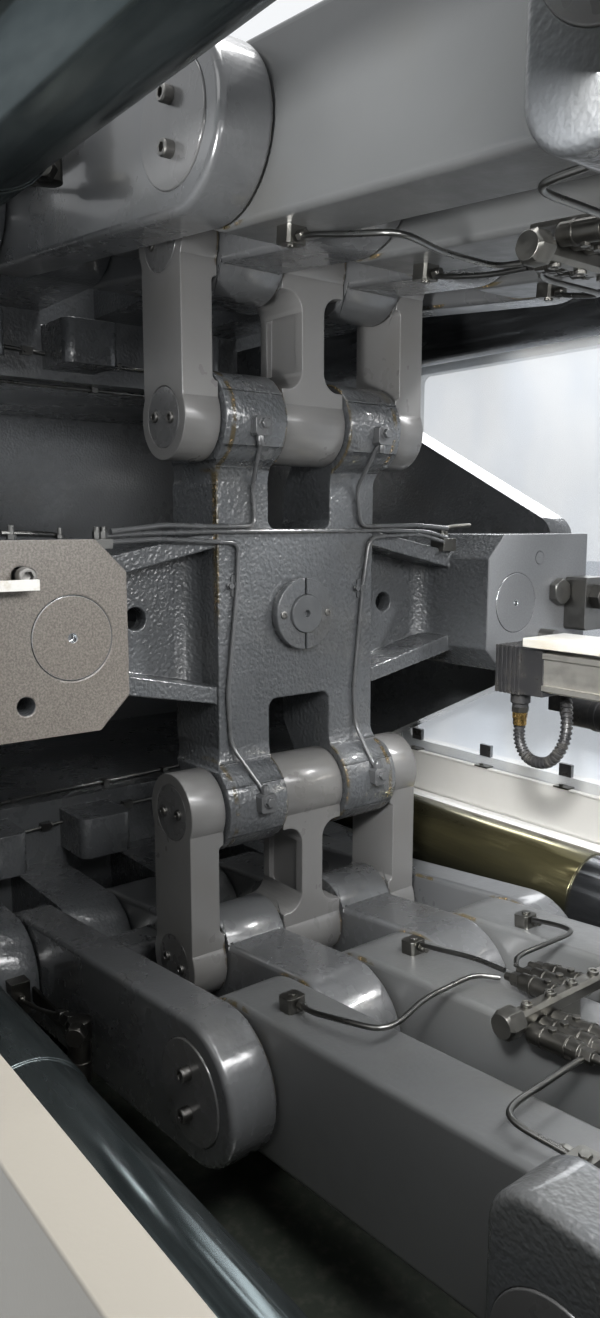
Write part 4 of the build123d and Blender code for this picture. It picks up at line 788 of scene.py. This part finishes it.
def arm_lines(level):
    """Grease tubes, blocks and the two distributors on top of the three front arms."""
    upper = LEVELS[level] > 0
    body = f"front_unit_{level}"

    tubes = Piece(f"arm_tubes_{level}", body, tube_steel, upper)
    for run in (
        [(318, -216, 12), (343, -226, 14), (405, -222, 22), (446, -212, 24), (452, -190, 24),
         (428, -122, 24), (424, -34, 24), (446, -12, 20)],
        [(296, 6, 14), (335, 0, 20), (385, 8, 22), (436, 8, 20)],
        [(436, 30, 20), (424, 46, 24), (430, 156, 26), (404, 168, 24), (346, 178, 16)],
        [(614, -86, 18), (626, -98, 20), (628, -116, 22), (636, -228, 24), (650, -242, 22),
         (706, -234, 14)],
        [(618, -70, 20), (652, -64, 22), (690, -34, 16), (700, 0, 12)],
    ):
        tubes.bent([(x, y, arm_top(x, rise)) for x, y, rise in run], 24)
    tubes.done(edge=0)

    blocks = Piece(f"arm_grease_blocks_{level}", body, fitting_steel, upper)
    for x, y, way in ((304, -218, 1), (282, 6, 1), (328, 186, 1), (720, -232, -1), (714, 4, -1)):
        blocks.drawn(place((x, y, arm_top(x)), ARM_UP), rounded_box(26, 24), -1, 18)
        blocks.turned(place((x, y, arm_top(x, 18)), ARM_UP), [(0, 6, True), (2.5, 6, True), (3, 5)])
        blocks.turned(place((x + 13 * way, y, arm_top(x, 12)), (way, 0, 0)),
                      [(0, 6, True), (8, 6, True), (9, 4.4), (12, 4.4)])
    blocks.done()

    x = 548
    z = arm_top(x, 36)
    bar = Piece(f"distributor_bar_{level}", body, fitting_steel, upper)
    bar.drawn(place((x, -106, z), FAR), rounded_box(19, 19, 4), 0, 176)
    bar.turned(place((x, -106, z), NEAR),
               [(0, 13, True), (5, 13, True), (5, 17, True), (24, 17, True), (28, 13)])
    bar.turned(place((x, 70, z), FAR),
               [(0, 12), (6, 12), (6, 15.5, True), (20, 15.5, True), (22, 12),
                (34, 12), (34, 15.5, True), (46, 15.5, True), (48, 11), (56, 11)])
    for y in (-92, -52, -14, 26):
        bar.turned(place((x, y, z + 9.5)), [(0, 6.5), (4, 6.5), (4, 4, True), (1.5, 3.8, True)])
    bar.drawn(place((x, -48, arm_top(x)), ARM_UP), rounded_box(46, 100, 3), -1, 4)
    bar.drawn(place((x, -24, arm_top(x))), rounded_box(14, 40, 2), 0, 30)
    bar.done()

    banks = ((536, (-6, 16, 38), -1), (560, (-98, -78, -58), 1))
    for number, (x, ys, way) in enumerate(banks, 1):
        group = Piece(f"grease_distributor_{level}_{number}", body, distributor_steel, upper)
        lean = (way, 0, ARM_SLOPE * way)
        middle = x + 26 * way
        for y in ys:
            group.turned(place((x, y, arm_top(x, 22)), lean),
                         [(0, 11), (14, 11), (14, 12.2), (18, 12.2), (18, 11), (44, 11), (44, 12.2),
                          (48, 12.2), (48, 10.5), (62, 10.5), (64, 8.5, True), (76, 8.5, True),
                          (77, 5), (86, 5)])
            group.turned(place((middle, y, arm_top(middle, 32))), [(0, 5, True), (4, 5, True)])
        group.drawn(place((x, sum(ys) / 3, arm_top(x, 21)), lean), rounded_box(60, 15, 2), 3, 56)
        group.done()


def tail_valve(level):
    """The small valve on the tail lug beside the near rear arm, and the pipes on the tail beam."""
    upper = LEVELS[level] > 0
    part = Piece(f"tail_grease_valve_{level}", "machine_frame", distributor_steel, upper)
    part.box((-210, -380, 686), (-186, -350, 738))
    part.turned(place((-186, -365, 712), FRONT), [(0, 7, True), (8, 7, True), (9, 5), (14, 5)])
    part.bent([(-176, -365, 712), (-120, -365, 724), (-46, -363, 746)])
    part.turned(place((-50, -363, 745), (1, 0, 0.2)),
                [(0, 8), (8, 8), (8, 11, True), (22, 11, True), (23, 9), (34, 9),
                 (34, 12, True), (50, 12, True)])
    part.turned(place((14, -360, 668)),
                [(0, 8), (6, 12), (10, 14), (34, 14), (34, 15.5), (40, 15.5), (40, 14), (70, 14),
                 (72, 16), (98, 16), (100, 12)])
    part.turned(place((14, -360, 756), (0.80, -0.60, 0.05)),
                [(0, 11), (16, 11), (16, 15, True), (32, 15, True), (35, 12)])
    part.turned(place((-14, -359, 676)), [(0, 6), (4, 8), (60, 8), (66, 6)])
    part.box((-190, -346, 700), (10, -341, 724))
    part.turned(place((-60, -352, 712), FAR), [(0, 8), (8, 8)])
    part.done()

    line = Piece(f"tail_beam_pipe_{level}", "machine_frame", tube_steel, upper)
    line.bent([(-492, -300, 862), (-491, -190, 870), (-491, -24, 881), (-491, 150, 884)])
    for y, z in ((-190, 870), (-20, 881), (140, 884)):
        line.box((-500.5, y - 10, z - 7), (-486, y + 10, z + 7))
    line.bent([(-520, -300, 919), (-538, -190, 919), (-548, 0, 919), (-562, 140, 919),
               (-590, 210, 919)], 40)
    for x, y in ((-532, -235), (-546, -40), (-556, 100)):
        line.box((x - 9, y - 6, 914.5), (x + 9, y + 6, 924))
    line.done()


def guard_trim():
    """Folded sheet below the far pane, its clips, and the screws of both guards."""
    start_x, end_x = -540, 1380
    sheet = Piece("far_guard_ledge", "machine_frame", cream)
    sheet.box((start_x, 699, 808), (end_x, 705.5, 896))
    sheet.box((start_x, 694, 896), (end_x, 705.5, 901))
    sheet.done(1.5)
    lip = Piece("far_guard_lip", "machine_frame", white_coat)
    lip.drawn(place((start_x, 690, 790), FRONT, 90), rounded_box(30, 34, 8), 0, end_x - start_x)
    lip.done(1.0)
    clips = Piece("far_pane_clips", "machine_frame", black_plastic)
    tongues = Piece("far_pane_clip_tongues", "machine_frame", fitting_steel)
    for k in range(8):
        x = -414 + 211 * k
        clips.box((x - 15, 708, 922), (x + 15, 717.5, 948))
        tongues.box((x - 14, 690, 901), (x + 22, 712, 904))
        tongues.hex_head(place((x, 698, 904)), 5)
    clips.done(1.0)
    tongues.done()
    for guard, y, way in (("near", -745, NEAR), ("far", 745, FAR)):
        screws = Piece(f"guard_screws_{guard}", "machine_frame", fitting_steel)
        for x in (-515, 1355):
            for z in (700, 1000, 1300, 1600, 1840):
                screws.turned(place((x, y, z), way),
                              [(0, 9), (2.4, 8), (4.2, 5), (4.2, 3, True), (2.6, 2.8, True)])
        screws.done(0)


def frame_fastenings():
    """Screws of the cylinder flange, of the tie bar nuts' keepers and of the rod's collar."""
    flange_screws, flange_r = 12, 160
    keeper_screws, keeper_r = 4, 102
    ring = Piece("cylinder_flange_screws", "machine_frame", screw_steel)
    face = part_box("tail_platen_rear_wall")[0].x / MM - 60
    for k in range(flange_screws):
        turn = 2 * math.pi * (k + 0.5) / flange_screws
        at = (face, flange_r * math.cos(turn), AXIS_Z + flange_r * math.sin(turn))
        ring.cap_screw(place(at, (-1, 0, 0), 15 * k), 20)
    ring.done()
    keepers = Piece("tie_bar_nut_keepers", "machine_frame", screw_steel)
    low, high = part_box("tie_bar_nuts")
    bar_y, bar_rise = TIE_BAR_AT
    for end, way in ((low.x / MM, -1), (high.x / MM, 1)):
        for y in (-bar_y, bar_y):
            for z in (AXIS_Z - bar_rise, AXIS_Z + bar_rise):
                for k in range(keeper_screws):
                    turn = math.radians(22.5 + 90 * k)
                    at = (end, y + keeper_r * math.cos(turn), z + keeper_r * math.sin(turn))
                    keepers.cap_screw(place(at, (way, 0, 0)), 12)
    keepers.done()
    collar = Piece("rod_collar_screws", "crosshead_unit", screw_steel)
    for y in (-41, 41):
        collar.turned(place((54, y, AXIS_Z), FRONT),
                      [(0, 5.5), (1.5, 5.5), (2, 4.6), (2, 2.8, True), (0.8, 2.7, True)])
    collar.done(0)


def hang_lamp(data, at, toward):
    """Places a lamp's light in the scene, looking from one point toward another."""
    light = bpy.data.objects.new(data.name, data)
    light.location = at
    light.rotation_euler = (Vector(toward) - Vector(at)).to_track_quat("-Z", "Y").to_euler()
    bpy.context.scene.collection.objects.link(light)


def add_area(name, at, toward, size, watts, color=(1, 1, 1)):
    data = bpy.data.lights.new(name, "AREA")
    data.shape = "RECTANGLE"
    data.size, data.size_y = size
    data.energy = watts
    data.color = color
    hang_lamp(data, at, toward)


def add_spot(name, at, toward, cone, watts):
    data = bpy.data.lights.new(name, "SPOT")
    data.spot_size = math.radians(cone)
    data.spot_blend = 0.6
    data.shadow_soft_size = 0.12
    data.energy = watts
    hang_lamp(data, at, toward)


def pale_world():
    """A plain pale background that the camera, metal and glass see, and a dimmer light from it."""
    world = bpy.data.worlds.new("studio")
    bpy.context.scene.world = world
    world.use_nodes = True
    tree = world.node_tree
    tree.nodes.clear()
    out = tree.nodes.new("ShaderNodeOutputWorld")
    seen = tree.nodes.new("ShaderNodeBackground")
    seen.inputs["Color"].default_value = (0.92, 0.94, 0.96, 1)
    light = tree.nodes.new("ShaderNodeBackground")
    light.inputs["Color"].default_value = (0.86, 0.90, 0.95, 1)
    light.inputs["Strength"].default_value = 0.7
    path = tree.nodes.new("ShaderNodeLightPath")
    pick = tree.nodes.new("ShaderNodeMixShader")
    rays = path.outputs["Is Camera Ray"]
    for more in ("Is Glossy Ray", "Is Transmission Ray"):
        either = tree.nodes.new("ShaderNodeMath")
        either.operation = "ADD"
        either.use_clamp = True
        tree.links.new(rays, either.inputs[0])
        tree.links.new(path.outputs[more], either.inputs[1])
        rays = either.outputs[0]
    tree.links.new(rays, pick.inputs[0])
    tree.links.new(light.outputs[0], pick.inputs[1])
    tree.links.new(seen.outputs[0], pick.inputs[2])
    tree.links.new(pick.outputs[0], out.inputs[0])


def lamps():
    """Soft lamps around the unit, and spots on what its castings shade."""
    add_area("window_light", (0.2, -3.4, 3.2), (0.1, 0, 1.1), (2.4, 1.8), 38)
    add_area("shoulder_light", (2.6, -1.6, 1.6), (0.0, 0, 1.25), (0.9, 0.8), 6)
    add_area("cavity_fill", (0.985, 0.10, 1.32), (0.0, 0.10, 1.32), (0.9, 0.7), 0.5)
    add_area("arm_lamp", (0.96, -0.08, 1.64), (0.62, 0.0, 0.88), (0.9, 0.3), 26)
    add_area("roof_light", (0.3, 0.3, 4.2), (0.1, 0, 1.3), (2.0, 1.2), 110)
    add_area("far_light", (-1.7, 2.9, 3.1), (0.5, 0, 0.9), (1.6, 1.0), 75, (0.96, 0.98, 1.0))
    add_area("end_light", (-4.2, 0.6, 2.8), (-1.0, 0, 1.2), (2.0, 1.6), 80)
    add_spot("neck_spot", (1.17, 1.18, 2.6), (0.06, -0.1, 1.1), 30, 370)
    add_spot("upper_spot", (0.95, -1.5, 1.3), (0.35, -0.1, 1.78), 24, 170)
    add_spot("wall_spot", (0.95, -1.45, 1.72), (-1.09, -0.1, 1.40), 20, 170)
    add_spot("ledge_spot", (1.25, -1.1, 1.9), (0.3, 0.7, 0.85), 32, 380)


def pale_floor():
    """A plain matt floor that is scenery, not part of the unit."""
    bpy.ops.mesh.primitive_plane_add(size=60)
    floor = bpy.context.object
    floor.name = "studio_floor"
    n = Nodes("studio_floor")
    tone = n.mix(n.noise(900, 4), (0.70, 0.71, 0.72), (0.76, 0.77, 0.78))
    floor.data.materials.append(n.surface(tone, 0.7, n.bump(n.noise(14, 3), 0.3, 0.3)))


def photo_camera():
    """The camera of the photograph."""
    data = bpy.data.cameras.new("photo_view")
    data.sensor_width = CAMERA_SENSOR
    data.lens = CAMERA_LENS
    data.clip_start = 0.02
    camera = bpy.data.objects.new("photo_view", data)
    yaw, tilt = math.radians(CAMERA_YAW), math.radians(CAMERA_TILT)
    ahead = Vector((-math.cos(yaw) * math.cos(tilt), math.sin(yaw) * math.cos(tilt), -math.sin(tilt)))
    camera.location = CAMERA_AT_M
    camera.rotation_euler = ahead.to_track_quat("-Z", "Y").to_euler()
    bpy.context.scene.collection.objects.link(camera)
    bpy.context.scene.camera = camera


for name in sorted(nodes):
    finish_cad_node(name)
cover_screws()
crosshead_lines()
block_fittings()
far_block_bracket()
transducer()
for level in LEVELS:
    arm_lines(level)
    tail_valve(level)
guard_trim()
frame_fastenings()
pale_world()
lamps()
pale_floor()
photo_camera()
bpy.context.scene.view_settings.view_transform = "Standard"
